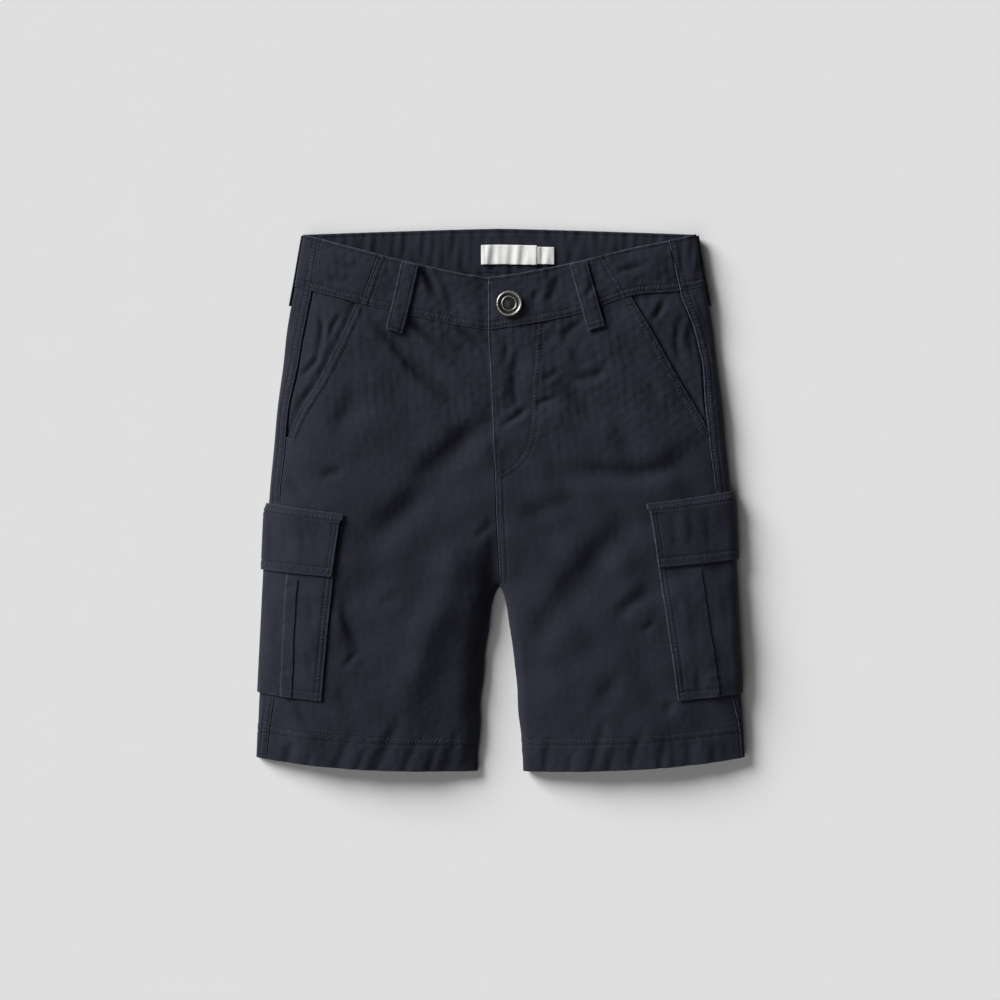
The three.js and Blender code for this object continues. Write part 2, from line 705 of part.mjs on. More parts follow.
function shankButton() {
  const { radius, stemRadius, stemHeight, capHeight } = BUTTON;
  const rim = stemHeight + capHeight;
  const profile = [
    [0, 0], [stemRadius, 0], [stemRadius, stemHeight], [radius - 1.2, stemHeight],
    [radius, stemHeight + 0.9], [radius, rim - 0.8], [radius - 0.7, rim], [radius - 1.7, rim],
    [radius - 2.3, rim - 0.7], [radius - 4.6, rim - 0.7], [radius - 5.1, rim - 0.2], [0, rim],
  ];
  const points = profile.map(([r, h]) => new THREE.Vector2(r, h));
  const button = new THREE.Mesh(new THREE.LatheGeometry(points, 28), DARK_METAL);
  button.name = 'button';
  const { level, girth } = locate(1, BUTTON.x, BUTTON.y);
  const raised = BAND_LAP_SHIFT + BAND_EXTRA + SEAM_GAP;
  const seat = clothPoint(1, level, girth, raised);
  const normal = clothPoint(1, level, girth, raised + 1).sub(seat);
  button.position.copy(seat);
  button.quaternion.setFromUnitVectors(new THREE.Vector3(0, 1, 0), normal.normalize());
  return button;
}

const shorts = new THREE.Group();
for (const side of SIDES) {
  shorts.add(frontPanel(side), backPanel(side), pocketFacing(side), bandFront(side), bandSide(side));
  shorts.add(cargoPocket(side), cargoFlap(side));
}
shorts.add(bandBack(), ...LOOPS.map(beltLoop), backLoop(), ...LABELS.map(insideLabel), shankButton());

export default shorts;
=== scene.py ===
"""Looks of a child's cargo shorts laid flat, front up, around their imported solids.

Lengths are in millimetres here and are written out in metres. A place on the cloth has a sign,
which is -1 on the wearer's right half and +1 on the left, a level above the hem, a girth round
the section from the side fold, positive over the front and negative over the back, and an offset
outside the cloth's outer face.
"""

import math

import bpy
import numpy as np
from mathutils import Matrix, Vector


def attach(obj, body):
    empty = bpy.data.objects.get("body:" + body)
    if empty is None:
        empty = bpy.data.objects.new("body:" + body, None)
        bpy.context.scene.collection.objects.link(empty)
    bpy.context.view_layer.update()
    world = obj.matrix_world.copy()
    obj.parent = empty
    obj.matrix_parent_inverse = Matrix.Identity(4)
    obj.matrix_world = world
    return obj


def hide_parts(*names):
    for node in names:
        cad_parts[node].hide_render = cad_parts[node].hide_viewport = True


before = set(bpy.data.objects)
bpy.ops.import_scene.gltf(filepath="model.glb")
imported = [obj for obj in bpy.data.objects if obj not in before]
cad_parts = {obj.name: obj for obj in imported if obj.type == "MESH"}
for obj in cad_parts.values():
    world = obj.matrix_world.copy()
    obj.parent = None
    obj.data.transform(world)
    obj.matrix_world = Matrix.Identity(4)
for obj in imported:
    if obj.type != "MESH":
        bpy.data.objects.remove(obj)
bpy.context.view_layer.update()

MM = 0.001
SIDES = {"right": -1, "left": 1}

# Sizes that the solids have too
CLOTH = 1.5
SEAM_GAP = 0.3
HALF_GAP = SEAM_GAP / 2
LAYER_GAP = 0.5
SIDE_LENGTH = 401.2
HEM_SIDE_Y = -197.4
BAND_LEVEL = 361.1
CROTCH_LEVEL = 139.5
FLY_END_LEVEL = 238
INSEAM_GAP = 17.9
INSEAM_POWER = 0.53
CROTCH_RISE = 46
CROTCH_FOLD = 0.75
CROTCH_EASE = 0.08
BAND_LIFT = 3.2
FLY_LAP = 12
BAND_LAP = 26
LAP_FADE = 30
BAND_EXTRA = 0.7
FELLED_EXTRA = 0.6
EDGES = {
    "right": {"side_fold": 0.5, "side_rise": 60, "inseam_fold": 0.45, "inseam_rise": 66},
    "left": {"side_fold": 0.85, "side_rise": 90, "inseam_fold": 0.9, "inseam_rise": 80},
}
PULL = {"level": 361, "along": 0.34, "lift": 6, "level_span": 31, "along_span": 0.17}


def columns(names, *rows):
    """A table as one array for each of its named columns."""
    return {name: np.array(values, float) for name, values in zip(names, zip(*rows))}


SECTIONS = columns(
    ("level", "half_width", "dip", "back_dip", "dip_power", "lean", "fold", "height"),
    (0, 187.0, 10.6, 10.6, 2.7, 0, 5.5, 17),
    (44, 185.0, 10.0, 10.0, 2.65, 0, 7, 21),
    (95, 182.4, 9.3, 9.3, 2.6, 0, 7.5, 23),
    (139.5, 180.2, 8.8, 8.8, 2.4, 0, 7, 23),
    (197.5, 177.4, 15, 4, 2.0, -2.7, 6.5, 23.5),
    (238, 173.7, 21, 1, 1.8, -3.8, 6, 23),
    (268, 171.0, 25, -1, 1.6, -5, 6, 22),
    (301, 166.6, 28, -2.5, 1.4, -6.4, 5.5, 21),
    (329, 163.5, 31, -3.5, 1.3, -7.6, 5.2, 20),
    (361.1, 157.4, 33.9, -4.7, 1.22, -9.2, 5, 18.5),
    (401.2, 150.5, 33.9, -4.6, 1.22, -9.2, 4.8, 17),
)
SIDE_SEAMS = columns(
    ("level", "right", "left"),
    (0, 9, 2.5),
    (28, 11, 4),
    (46, 13, 8),
    (203, 9, 12),
    (270, 9, 13.5),
    (305, 11.5, 11.3),
    (334, 13.3, 14.8),
    (355, 13.4, 19.6),
    (401.2, 13.5, 22),
)
POCKET_MOUTHS = {
    "right": [(-109.3, 152.1), (-123.2, 119.7), (-139.4, 89.7), (-153.2, 68.1), (-162.5, 47.5)],
    "left": [(99.8, 155.5), (116.3, 128.2), (131.7, 100.5), (147.1, 75.8), (160.0, 52.0)],
}
BAND_SEAMS = {"right": (-106.5, -93), "left": (98.5, 80.5)}

# The largest folds, which the solids have too. A negative depth is a ridge.
FOLDS = columns(
    ("from_x", "from_y", "to_x", "to_y", "depth", "width"),
    (-86, 134, -36, 84, 2.6, 6.5),
    (-61, 134, -11, 106, 1.6, 6),
    (-7, 58, -95, -32, 3.2, 11),
    (-105, 83, -126, 37, 1.5, 8),
    (-150, 42, -128, 40, 1.2, 7),
    (-31, -40, -82, -172, -2.2, 14),
    (-117, -70, -106, -122, 1.8, 6),
    (15, 107, 11, 70, 1.8, 6),
    (26, 71, 46, 77, 1.2, 6),
    (57, 84, 88, 57, 1.8, 8),
    (44, 13, 98, 20, 2.4, 8),
    (96, 17, 150, 25, 2.0, 7),
    (98, -24, 40, -97, 3.0, 11),
    (130, -61, 88, -88, 1.8, 8),
    (89, -136, 77, -168, 1.3, 7),
)


def crease(depth, width, *points):
    """One soft trough of the front along points (x, y), with a low ridge on its upper side."""
    return {"depth": depth, "width": width, "points": points}


# Smaller creases, placed one by one
CREASES = [
    # waist to hip, wearer's right
    crease(1.3, 3.4, (-106, 147), (-88, 127), (-69, 105), (-54, 92), (-36, 77), (-24, 67)),
    crease(1.0, 6.0, (-80, 114), (-57, 91), (-37, 76), (-20, 64)),
    crease(1.5, 2.8, (-73, 141), (-58, 127), (-41, 114), (-33, 108)),
    crease(1.3, 2.8, (-36, 134), (-24, 126), (-8, 111)),
    crease(1.6, 2.6, (-61, 181), (-54, 167), (-46, 152)),
    crease(0.6, 3.0, (-42, 162), (-37, 152), (-32, 142)),
    crease(0.6, 2.8, (-127, 184), (-116, 178), (-103, 177)),
    crease(0.5, 2.6, (-133, 172), (-122, 166), (-113, 168)),
    crease(1.0, 2.2, (-142, 149), (-136, 136), (-137, 122), (-143, 98)),
    crease(0.8, 2.0, (-119, 146), (-128, 133), (-132, 118)),
    crease(0.9, 2.2, (-137, 112), (-146, 101), (-156, 92)),
    crease(0.6, 2.4, (-140, 92), (-149, 80), (-158, 66)),
    crease(0.4, 5.0, (-122, 106), (-114, 88), (-116, 70), (-130, 50), (-142, 38)),
    crease(0.8, 3.4, (-139, 19), (-129, 20), (-117, 24)),
    crease(0.5, 3.0, (-164, 19), (-157, 10), (-147, 0)),
    crease(0.4, 3.0, (-81, 131), (-77, 120), (-75, 107)),
    crease(1.3, 7.0, (-1, 65), (-20, 54), (-38, 38), (-58, 22), (-80, 4)),
    # fly
    crease(0.4, 3.0, (19, 121), (11, 104), (8, 88), (12, 74), (19, 65)),
    crease(0.9, 2.2, (25, 73), (9, 61), (-3, 53)),
    crease(0.4, 2.2, (2, 49), (-1, 44), (-2, 37)),
    crease(0.6, 2.0, (26, 71), (35, 77), (46, 76)),
    crease(0.5, 2.8, (28, 90), (38, 94), (47, 102)),
    crease(0.5, 2.4, (2, 128), (6, 114), (3, 100)),
    # waist to hip, wearer's left
    crease(0.5, 3.0, (31, 119), (38, 124), (47, 130)),
    crease(0.8, 3.0, (51, 116), (49, 125), (57, 133), (68, 137)),
    crease(0.9, 3.2, (49, 98), (63, 92), (75, 95), (87, 110)),
    crease(0.8, 4.0, (55, 117), (59, 108), (64, 99)),
    crease(1.1, 6.5, (45, 93), (60, 75), (83, 52)),
    crease(0.9, 5.5, (34, 18), (66, 26), (97, 20), (125, 24), (148, 40), (163, 55)),
    crease(0.4, 6.0, (84, 70), (94, 46), (104, 16)),
    crease(0.5, 5.0, (113, 94), (116, 84), (118, 71)),
    crease(1.1, 2.2, (128, 155), (121, 144), (115, 133)),
    crease(0.8, 2.4, (141, 146), (134, 124), (139, 100)),
    crease(0.5, 3.4, (147, 140), (144, 126), (150, 110)),
    crease(0.8, 2.6, (88, 174), (102, 177), (114, 182)),
    crease(0.6, 2.2, (150, 188), (145, 182), (138, 176)),
    crease(0.7, 3.0, (46, 173), (40, 158), (35, 144)),
    crease(0.6, 2.8, (30, 164), (25, 152), (27, 139)),
    crease(0.6, 2.4, (74, 168), (68, 160), (66, 150)),
    # leg, wearer's right
    crease(1.2, 6.0, (-3, -8), (-5, -45), (-7, -75), (-11, -104)),
    crease(-1.7, 11.0, (-18, -52), (-23, -90), (-28, -140), (-34, -230)),
    crease(0.8, 8.5, (-56, 12), (-78, -10), (-100, -33)),
    crease(-0.8, 13, (-30, -40), (-48, -88), (-66, -134), (-84, -180)),
    crease(0.5, 3.0, (-3, -14), (-11, -22), (-22, -33)),
    crease(0.5, 4.5, (-74, -72), (-85, -77), (-95, -77)),
    crease(0.6, 3.0, (-122, -74), (-117, -94), (-110, -114)),
    crease(0.6, 2.6, (-109, -114), (-113, -121), (-121, -130)),
    crease(0.6, 2.6, (-156, -154), (-152, -165), (-141, -176)),
    crease(0.4, 5.0, (-126, -144), (-119, -154), (-108, -162)),
    # leg, wearer's left
    crease(0.8, 6.0, (71, 4), (38, -3), (6, -20)),
    crease(0.8, 5.0, (117, -67), (97, -80), (84, -96)),
    crease(1.2, 8.0, (102, -8), (64, -50), (34, -86), (24, -112)),
    crease(0.6, 8.0, (46, -72), (28, -104), (20, -146)),
    crease(0.4, 5.0, (95, -131), (75, -149), (67, -174)),
    crease(0.6, 4.0, (132, -151), (129, -158), (126, -167)),
    crease(0.5, 2.6, (119, -91), (113, -97), (107, -102)),
    # cargo pockets and flaps
    crease(0.26, 2.6, (-162, -16), (-162, -30), (-163, -50)),
    crease(0.26, 2.4, (-149, -17), (-149, -32), (-147, -53)),
    crease(0.20, 2.6, (-174, -14), (-175, -30), (-177, -46)),
    crease(0.30, 3.0, (-172, -81), (-167, -92), (-170, -107)),
    crease(0.30, 3.0, (-146, -70), (-142, -86), (-146, -103)),
    crease(0.26, 3.0, (-149, -115), (-143, -123), (-146, -135)),
    crease(0.26, 3.0, (132, -3), (132, -19), (135, -43)),
    crease(0.26, 2.8, (144, -2), (146, -17), (145, -40)),
    crease(0.20, 2.6, (159, 0), (158, -15), (160, -37)),
    crease(0.30, 3.0, (132, -69), (136, -83), (136, -100)),
    crease(0.26, 2.6, (152, -129), (151, -138), (153, -149)),
    crease(0.20, 2.6, (171, -69), (172, -84), (175, -107)),
    # hem
    crease(0.6, 3.0, (-156, -180), (-163, -196), (-170, -226)),
    crease(0.4, 2.6, (-141, -184), (-146, -200), (-156, -226)),
    crease(0.5, 3.4, (-108, -170), (-119, -190), (-131, -226)),
    crease(0.4, 2.6, (-100, -186), (-108, -202), (-116, -226)),
    crease(0.6, 4.0, (-72, -160), (-86, -186), (-104, -226)),
    crease(0.5, 3.0, (-60, -178), (-70, -198), (-80, -226)),
    crease(0.5, 3.6, (-30, -168), (-37, -192), (-46, -226)),
    crease(0.4, 2.6, (-47, -184), (-53, -202), (-58, -226)),
    crease(0.5, 3.0, (41, -176), (35, -196), (34, -226)),
    crease(0.4, 2.6, (57, -186), (53, -202), (52, -226)),
    crease(0.5, 3.4, (84, -162), (74, -186), (66, -226)),
    crease(0.4, 2.6, (88, -186), (84, -204), (83, -226)),
    crease(0.45, 3.2, (112, -166), (103, -190), (97, -226)),
    crease(0.5, 2.8, (126, -180), (123, -200), (122, -226)),
    crease(0.45, 3.4, (148, -172), (145, -196), (146, -226)),
    crease(0.4, 2.6, (164, -182), (163, -200), (165, -226)),
]

# Creases of the hidden underside, hollows between it and the surface below
BACK_CREASES = [
    crease(0.9, 7.0, (-120, 60), (-80, 40), (-40, 34)),
    crease(0.8, 6.0, (-20, 30), (-45, 0), (-80, -22)),
    crease(1.0, 7.0, (18, 26), (48, -2), (90, -16)),
    crease(0.7, 5.0, (130, 70), (104, 48), (70, 44)),
    crease(0.8, 6.0, (-150, -30), (-118, -60), (-96, -110)),
    crease(0.7, 6.0, (-60, -60), (-74, -110), (-70, -160)),
    crease(0.9, 7.0, (146, -40), (112, -66), (92, -112)),
    crease(0.7, 5.0, (52, -70), (66, -118), (60, -158)),
]

CARGO = {
    "right": {
        "flap_top": 195, "flap_bottom": 144, "bottom": 50,
        "flap_front": (63, 58), "front": (59, 54), "rear": (-1, -1.5), "pleat": (23.3, 22.4),
        "pleat_fade": 0.6,
    },
    "left": {
        "flap_top": 204, "flap_bottom": 152, "bottom": 50,
        "flap_front": (69.5, 64.5), "front": (64, 54), "rear": (1, -5), "pleat": (32.3, 21.8),
        "pleat_fade": 12,
    },
}
FACING_SLACK = 1.5
PLEAT_WIDTH = 9
PLEAT_HEIGHT = 1.1
POCKET_FULLNESS = 1.6
POCKET_TOP_DROP = 8

# Sewing and finish
STITCH_PITCH = 2.6
STITCH_LENGTH = 2.0
THREAD_RADIUS = 0.33
GROOVE = 0.45  # how deep a row of stitches pulls the cloth in
SWELL = 0.12  # how far the cloth stands out between two rows
PUCKER_PITCH = 2.9
PUCKER = 0.18  # half height of the small puckers across a seam
FIRST_ROW = 1.6  # distance of the first row of stitches from an edge
SECOND_ROW = 6.2
ROW_GAP = SECOND_ROW - FIRST_ROW
HEM_ROWS = (20.3, 25.8)
HEM_EXTRA = 0.35  # what the turned-up cloth adds to a hem and to a pocket's mouth
FLY_EXTRA = 0.25  # what the fly's facing adds
FLY_WIDTH = 42
INSEAM_ROW = 5.5
EDGE = np.array([0, 0.12, 0.3, 0.6, 1.0, 1.6, 2.2, 2.8])
ROUND_STEPS = 120
ROUND_TURNS = np.linspace(0, 3, 3 * ROUND_STEPS + 1)
TURN_STEP = 0.004
RANDOM = np.random.default_rng(11)


def smooth(value):
    """0 to 1 with level ends."""
    part = np.clip(value, 0, 1)
    return part * part * (3 - 2 * part)


def round_rise(distance, span):
    return np.sqrt(1 - (1 - np.clip(distance / span, 0, 1)) ** 2)


def slope_rise(distance, span):
    return 1 - (1 - np.clip(distance / span, 0, 1)) ** 2


def read_section(column, level):
    """Smooth reading of one column of SECTIONS, with slopes taken from the rows on either side."""
    levels, values = SECTIONS["level"], SECTIONS[column]
    rows = np.arange(len(levels))
    above, below = np.minimum(rows + 1, rows[-1]), np.maximum(rows - 1, 0)
    slopes = (values[above] - values[below]) / (levels[above] - levels[below])
    at = np.clip(level, levels[0], levels[-1])
    i = np.searchsorted(levels[1:-1], at)
    span = levels[i + 1] - levels[i]
    t = (at - levels[i]) / span
    start = (2 * t**3 - 3 * t**2 + 1) * values[i] + (t**3 - 2 * t**2 + t) * span * slopes[i]
    return start + (3 * t**2 - 2 * t**3) * values[i + 1] + (t**3 - t**2) * span * slopes[i + 1]


def fold_depth(x, y):
    depth = 0
    for from_x, from_y, to_x, to_y, deep, width in zip(*FOLDS.values()):
        run_x, run_y = to_x - from_x, to_y - from_y
        near = np.clip(((x - from_x) * run_x + (y - from_y) * run_y) / (run_x**2 + run_y**2), 0, 1)
        away = np.hypot(x - from_x - run_x * near, y - from_y - run_y * near)
        depth = depth + deep * (0.35 + 0.65 * np.sin(np.pi * near)) * np.exp(-((away / width) ** 2))
    return depth


def surface(sign, level, turn):
    """The cloth's outer face without its small creases. turn is -1 at the middle of the back or
    the inseam, 0 at the side fold and 1 at the middle of the front or the inseam."""
    level, turn = np.broadcast_arrays(level, turn)
    past = np.abs(turn) > 1
    torso = level > CROTCH_LEVEL
    over = 2 * np.sign(turn)
    side = np.where(past & torso, -sign, sign)
    turn = np.where(past, np.where(torso, over - turn, turn - over), turn)
    front = turn > 0

    along = (1 - np.cos(np.pi * turn)) / 2
    below = np.maximum(CROTCH_LEVEL - level, 0) / CROTCH_LEVEL
    parted = HALF_GAP + (INSEAM_GAP - HALF_GAP) * below**INSEAM_POWER
    inner_x = np.where(front, read_section("lean", level), 0) + side * parted
    outer_x = side * read_section("half_width", level)
    x = outer_x + (inner_x - outer_x) * along

    dip = np.where(front, read_section("dip", level), read_section("back_dip", level))
    y = HEM_SIDE_Y + level - dip * (1 - np.maximum(1 - along, 0) ** read_section("dip_power", level))
    above = (level - PULL["level"]) / PULL["level_span"]
    beside = (along - PULL["along"]) / PULL["along_span"]
    y = y + np.where(front & (side > 0), PULL["lift"], 0) * np.exp(-(above**2) - beside**2)

    from_side = np.abs(outer_x - x)
    from_inner = np.hypot(inner_x - x, np.maximum(level - CROTCH_LEVEL, 0))
    edge = {name: np.where(side < 0, size, EDGES["left"][name]) for name, size in EDGES["right"].items()}
    inseam_fold = CROTCH_FOLD + (edge["inseam_fold"] - CROTCH_FOLD) * smooth(below / 0.35)
    fold = read_section("fold", level) * (edge["side_fold"] + (inseam_fold - edge["side_fold"]) * along)
    base = BAND_LIFT * smooth((level - 322) / 30)
    turned = round_rise(from_side, fold) * round_rise(from_inner, fold)
    inseam_rise = CROTCH_RISE + (edge["inseam_rise"] - CROTCH_RISE) * below
    # Just below the crotch the front rises from a line that leaves the middle softly.
    eased = (below**2 + CROTCH_EASE**2) ** (INSEAM_POWER / 2) - CROTCH_EASE**INSEAM_POWER
    blend = smooth(below / 0.35)
    shifted = side * (INSEAM_GAP * eased - parted) * (1 - blend)
    from_eased = np.hypot(inner_x + shifted - x, np.maximum(level - CROTCH_LEVEL, 0))
    risen = slope_rise(from_side, edge["side_rise"]) * slope_rise(from_eased, inseam_rise)
    risen = risen * round_rise(from_inner, fold)
    rise = (read_section("height", level) - base - 2 * fold - fold_depth(x, y)) * risen
    z = base + np.where(front, fold * (1 + turned) + rise, fold * (1 - turned))
    return np.stack([x, y, z], axis=-1)


measured_rows = {}


def girth_rows(sign, levels, direction):
    """Lengths round each level from the side fold, all round the other half too."""
    key = (sign, direction, levels.tobytes())
    if key not in measured_rows:
        turns = direction * ROUND_TURNS
        steps = np.linalg.norm(np.diff(surface(sign, levels[:, None], turns[None, :]), axis=1), axis=2)
        measured_rows[key] = np.pad(np.cumsum(steps, axis=1), ((0, 0), (1, 0)))
    return measured_rows[key]


def front_half(sign, levels):
    return girth_rows(sign, levels, 1)[:, ROUND_STEPS]


def back_half(sign, levels):
    return girth_rows(sign, levels, -1)[:, ROUND_STEPS]


def turns_at(sign, levels, girths):
    over, under = girth_rows(sign, levels, 1), girth_rows(sign, levels, -1)
    turns = np.empty(girths.shape)
    for i, row in enumerate(girths):
        on_front, on_back = np.interp(row, over[i], ROUND_TURNS), np.interp(-row, under[i], ROUND_TURNS)
        turns[i] = np.where(row > 0, on_front, -on_back)
    return turns


def girth_at(sign, levels, turns):
    over = girth_rows(sign, levels, 1)
    return np.array([np.interp(turn, ROUND_TURNS, row) for turn, row in zip(turns, over)])


def turn_of(sign, levels, x):
    """Turn of the front at which each level passes x."""
    inner_x = read_section("lean", levels)
    outer_x = sign * read_section("half_width", levels)
    return np.arccos(1 - 2 * np.clip((x - outer_x) / (inner_x - outer_x), 0, 1)) / np.pi


def locate(sign, x, y):
    """Levels and girths of places on the front that a front view shows at x, y."""
    x, y = np.array(x, float), np.array(y, float)
    low, high = np.zeros(x.shape), np.full(x.shape, float(SIDE_LENGTH))
    for _ in range(40):
        level = (low + high) / 2
        lower = surface(sign, level, turn_of(sign, level, x))[..., 1] < y
        low, high = np.where(lower, level, low), np.where(lower, high, level)
    return low, girth_at(sign, low, turn_of(sign, low, x))


# Small form of the cloth


def rounded_path(points):
    """The points with their corners cut twice, so that a crease bends softly."""
    path = np.array(points, float)
    for _ in range(2):
        cut = np.stack([0.75 * path[:-1] + 0.25 * path[1:], 0.25 * path[:-1] + 0.75 * path[1:]], axis=1)
        path = np.concatenate([path[:1], cut.reshape(-1, 2), path[-1:]])
    return path


def path_length(path):
    return np.concatenate([[0], np.cumsum(np.hypot(*np.diff(path, axis=0).T))])


def along_path(path, first, second, reach):
    """Length along a path and signed distance from it (positive on its left) within reach of it,
    as flat arrays, with the mask of the places that they belong to."""
    low, high = path.min(axis=0) - reach, path.max(axis=0) + reach
    mask = (first > low[0]) & (first < high[0]) & (second > low[1]) & (second < high[1])
    a, b = first[mask], second[mask]
    nearest, along, side = np.full(a.shape, np.inf), np.zeros(a.shape), np.ones(a.shape)
    lengths = path_length(path)
    for start, end, run in zip(path, path[1:], lengths):
        step = end - start
        share = np.clip(((a - start[0]) * step[0] + (b - start[1]) * step[1]) / (step @ step), 0, 1)
        off_a, off_b = a - start[0] - step[0] * share, b - start[1] - step[1] * share
        away = np.hypot(off_a, off_b)
        closer = away < nearest
        nearest[closer] = away[closer]
        along[closer] = (run + share * np.hypot(*step))[closer]
        side[closer] = np.sign(step[0] * off_b - step[1] * off_a)[closer]
    return along, nearest * side, lengths[-1], mask


def crease_height(creases, x, y, ridge):
    """Height that the creases add: troughs, each with a share of its depth as a ridge beside it."""
    height = np.zeros(x.shape)
    for item in creases:
        width = item["width"]
        path = rounded_path(item["points"])
        along, away, length, mask = along_path(path, x, y, 4 * width)
        share = along / length
        taper = smooth(share / 0.35) * smooth((1 - share) / 0.45)
        trough = np.exp(-((away / width) ** 2))
        beside = np.exp(-(((np.abs(away) - 2.2 * width) / (1.1 * width)) ** 2))
        height[mask] += item["depth"] * taper * (ridge * beside - trough)
    return height


def wave_set(count, shortest, longest, height):
    """Random long-crested waves: their directions and lengths, phases and height."""
    angle = RANDOM.uniform(0, np.pi, count)
    number = 2 * np.pi / np.exp(RANDOM.uniform(np.log(shortest), np.log(longest), count))
    phase = RANDOM.uniform(0, 2 * np.pi, count)
    return number * np.cos(angle), number * np.sin(angle), phase, height / math.sqrt(count)


def waves(items, x, y):
    total = np.zeros(x.shape)
    across, upward, phase, height = items
    for k in range(len(phase)):
        total += height * np.sin(across[k] * x + upward[k] * y + phase[k])
    return total


SLACK = wave_set(14, 24, 70, 0.7)
CRUMPLE = wave_set(20, 6, 15, 0.18)
GATHERS = wave_set(9, 7, 15, 0.42)
CREASE_GAIN = 1.7  # how much deeper than their tables the small creases are made


def relief(points, levels, girths):
    """How far creases move the cloth out at points of its outer face."""
    x, y = points[..., 0], points[..., 1]
    over, under = smooth(girths / 14), smooth(-girths / 14)
    lifted = smooth((levels - BAND_LEVEL + 14) / 14)
    # The cloth is most crumpled at the waist and along the hem, and smoothest on the legs.
    crumpled = 0.35 + 0.65 * smooth((levels - 215) / 90) + 0.3 * smooth((32 - levels) / 20)
    loose = waves(SLACK, x, y) + crumpled * waves(CRUMPLE, x, y)
    front = CREASE_GAIN * crease_height(CREASES, x, y, 0.3) + loose
    hollows = crease_height(BACK_CREASES, x, y, 0) + np.minimum(loose - 0.5, 0)
    # Elastic gathers the waistband's back into upright ripples, drawn out along the level.
    gathers = np.minimum(waves(GATHERS, x, 0.5 * levels) - 0.5, 0)
    return over * front + under * ((1 - lifted) * hollows + lifted * gathers)


def place(sign, levels, girths, offsets=0.0):
    """Points at levels (one a row), girths and offsets, with the cloth's normals there."""
    turns = turns_at(sign, levels, girths)
    rows = levels[:, None]
    base = surface(sign, rows, turns)
    across = surface(sign, rows, turns + TURN_STEP) - surface(sign, rows, turns - TURN_STEP)
    upward = surface(sign, rows + 0.5, turns) - surface(sign, rows - 0.5, turns)
    normals = np.cross(upward, across) * sign
    normals /= np.linalg.norm(normals, axis=-1, keepdims=True)
    out = offsets + relief(base, rows + 0 * girths, girths)
    return base + normals * out[..., None], normals


# Lines on the cloth, as girths that vary with the level

TABLE_LEVELS = np.unique(np.concatenate([np.arange(0, 402, 1.0), CROTCH_LEVEL + np.arange(-3, 3, 0.1)]))


def side_seam(side, levels):
    sign = SIDES[side]
    inset = np.interp(levels, SIDE_SEAMS["level"], SIDE_SEAMS[side])
    width = read_section("half_width", levels) - sign * read_section("lean", levels)
    return girth_at(sign, levels, np.arccos(1 - 2 * inset / width) / np.pi)


def mouth_line(side):
    """Levels and girths of the edge of a slanted pocket, from its lower end up."""
    x, y = np.array(POCKET_MOUTHS[side][::-1]).T
    return locate(SIDES[side], x, y)


def band_seam(side, levels):
    bottom_x, top_x = BAND_SEAMS[side]
    x = bottom_x + (top_x - bottom_x) * (levels - BAND_LEVEL) / (SIDE_LENGTH - BAND_LEVEL)
    return girth_at(SIDES[side], levels, turn_of(SIDES[side], levels, x))


LINES = {
    side: {
        "seam": side_seam(side, TABLE_LEVELS),
        "middle": front_half(sign, TABLE_LEVELS),
        "mouth": mouth_line(side),
    }
    for side, sign in SIDES.items()
}
SIDE_OF = {sign: side for side, sign in SIDES.items()}


def seam_near(side, level):
    return np.interp(level, TABLE_LEVELS, LINES[side]["seam"])


def middle_near(sign, level):
    return np.interp(level, TABLE_LEVELS, LINES[SIDE_OF[sign]]["middle"])


def mouth_near(side, level):
    return np.interp(level, *LINES[side]["mouth"])


def between(ends, top, bottom):
    """A line that leans from ends[1] at the bottom to ends[0] at the top."""
    return lambda level: ends[1] + (ends[0] - ends[1]) * (level - bottom) / (top - bottom)


def lap_shift(sign, level, girth, lap, amount):
    """How far a front is raised or sunk beside the lapped middle."""
    from_middle = middle_near(sign, level) - girth
    fade = (from_middle - lap - 3) / LAP_FADE if sign > 0 else from_middle / FLY_LAP
    return sign * amount * (1 - smooth(fade))


FRONT_LAP_SHIFT = (CLOTH + LAYER_GAP) / 2
BAND_LAP_SHIFT = (CLOTH + BAND_EXTRA + LAYER_GAP) / 2


# Meshes


def across(stops, steps):
    """Girths of a piece's columns at each level: dense at both outer stops, and at most a step
    apart between one stop and the next."""
    inner = [stops[0] + EDGE[-1], *stops[1:-1], stops[-1] - EDGE[-1]]
    parts = [stops[0][:, None] + EDGE[:-1]]
    for near, far, step in zip(inner, inner[1:], steps):
        count = max(1, math.ceil(np.max(far - near) / step))
        parts.append(near[:, None] + (far - near)[:, None] * np.arange(count) / count)
    parts.append(stops[-1][:, None] - EDGE[::-1])
    return np.concatenate(parts, axis=1)


def upward(stops, steps):
    """Levels of a piece's rows, in the same way."""
    return across([np.array([float(stop)]) for stop in stops], steps)[0]


def zip_side(outer, kept, inner, flip):
    """Triangles between one side of the outer grid and that of the inner one, which has only
    the kept places."""
    faces = []
    for k, (start, end) in enumerate(zip(kept, kept[1:])):
        middle = (start + end) // 2
        for i in range(start, end):
            faces.append((outer[i], outer[i + 1], inner[k] if i < middle else inner[k + 1]))
        faces.append((outer[middle], inner[k + 1], inner[k]))
    return [face[::-1] for face in faces] if flip else faces


def grid_quads(ids, flip):
    quads = np.stack([ids[:-1, :-1], ids[:-1, 1:], ids[1:, 1:], ids[1:, :-1]], axis=-1).reshape(-1, 4)
    return quads[:, ::-1] if flip else quads


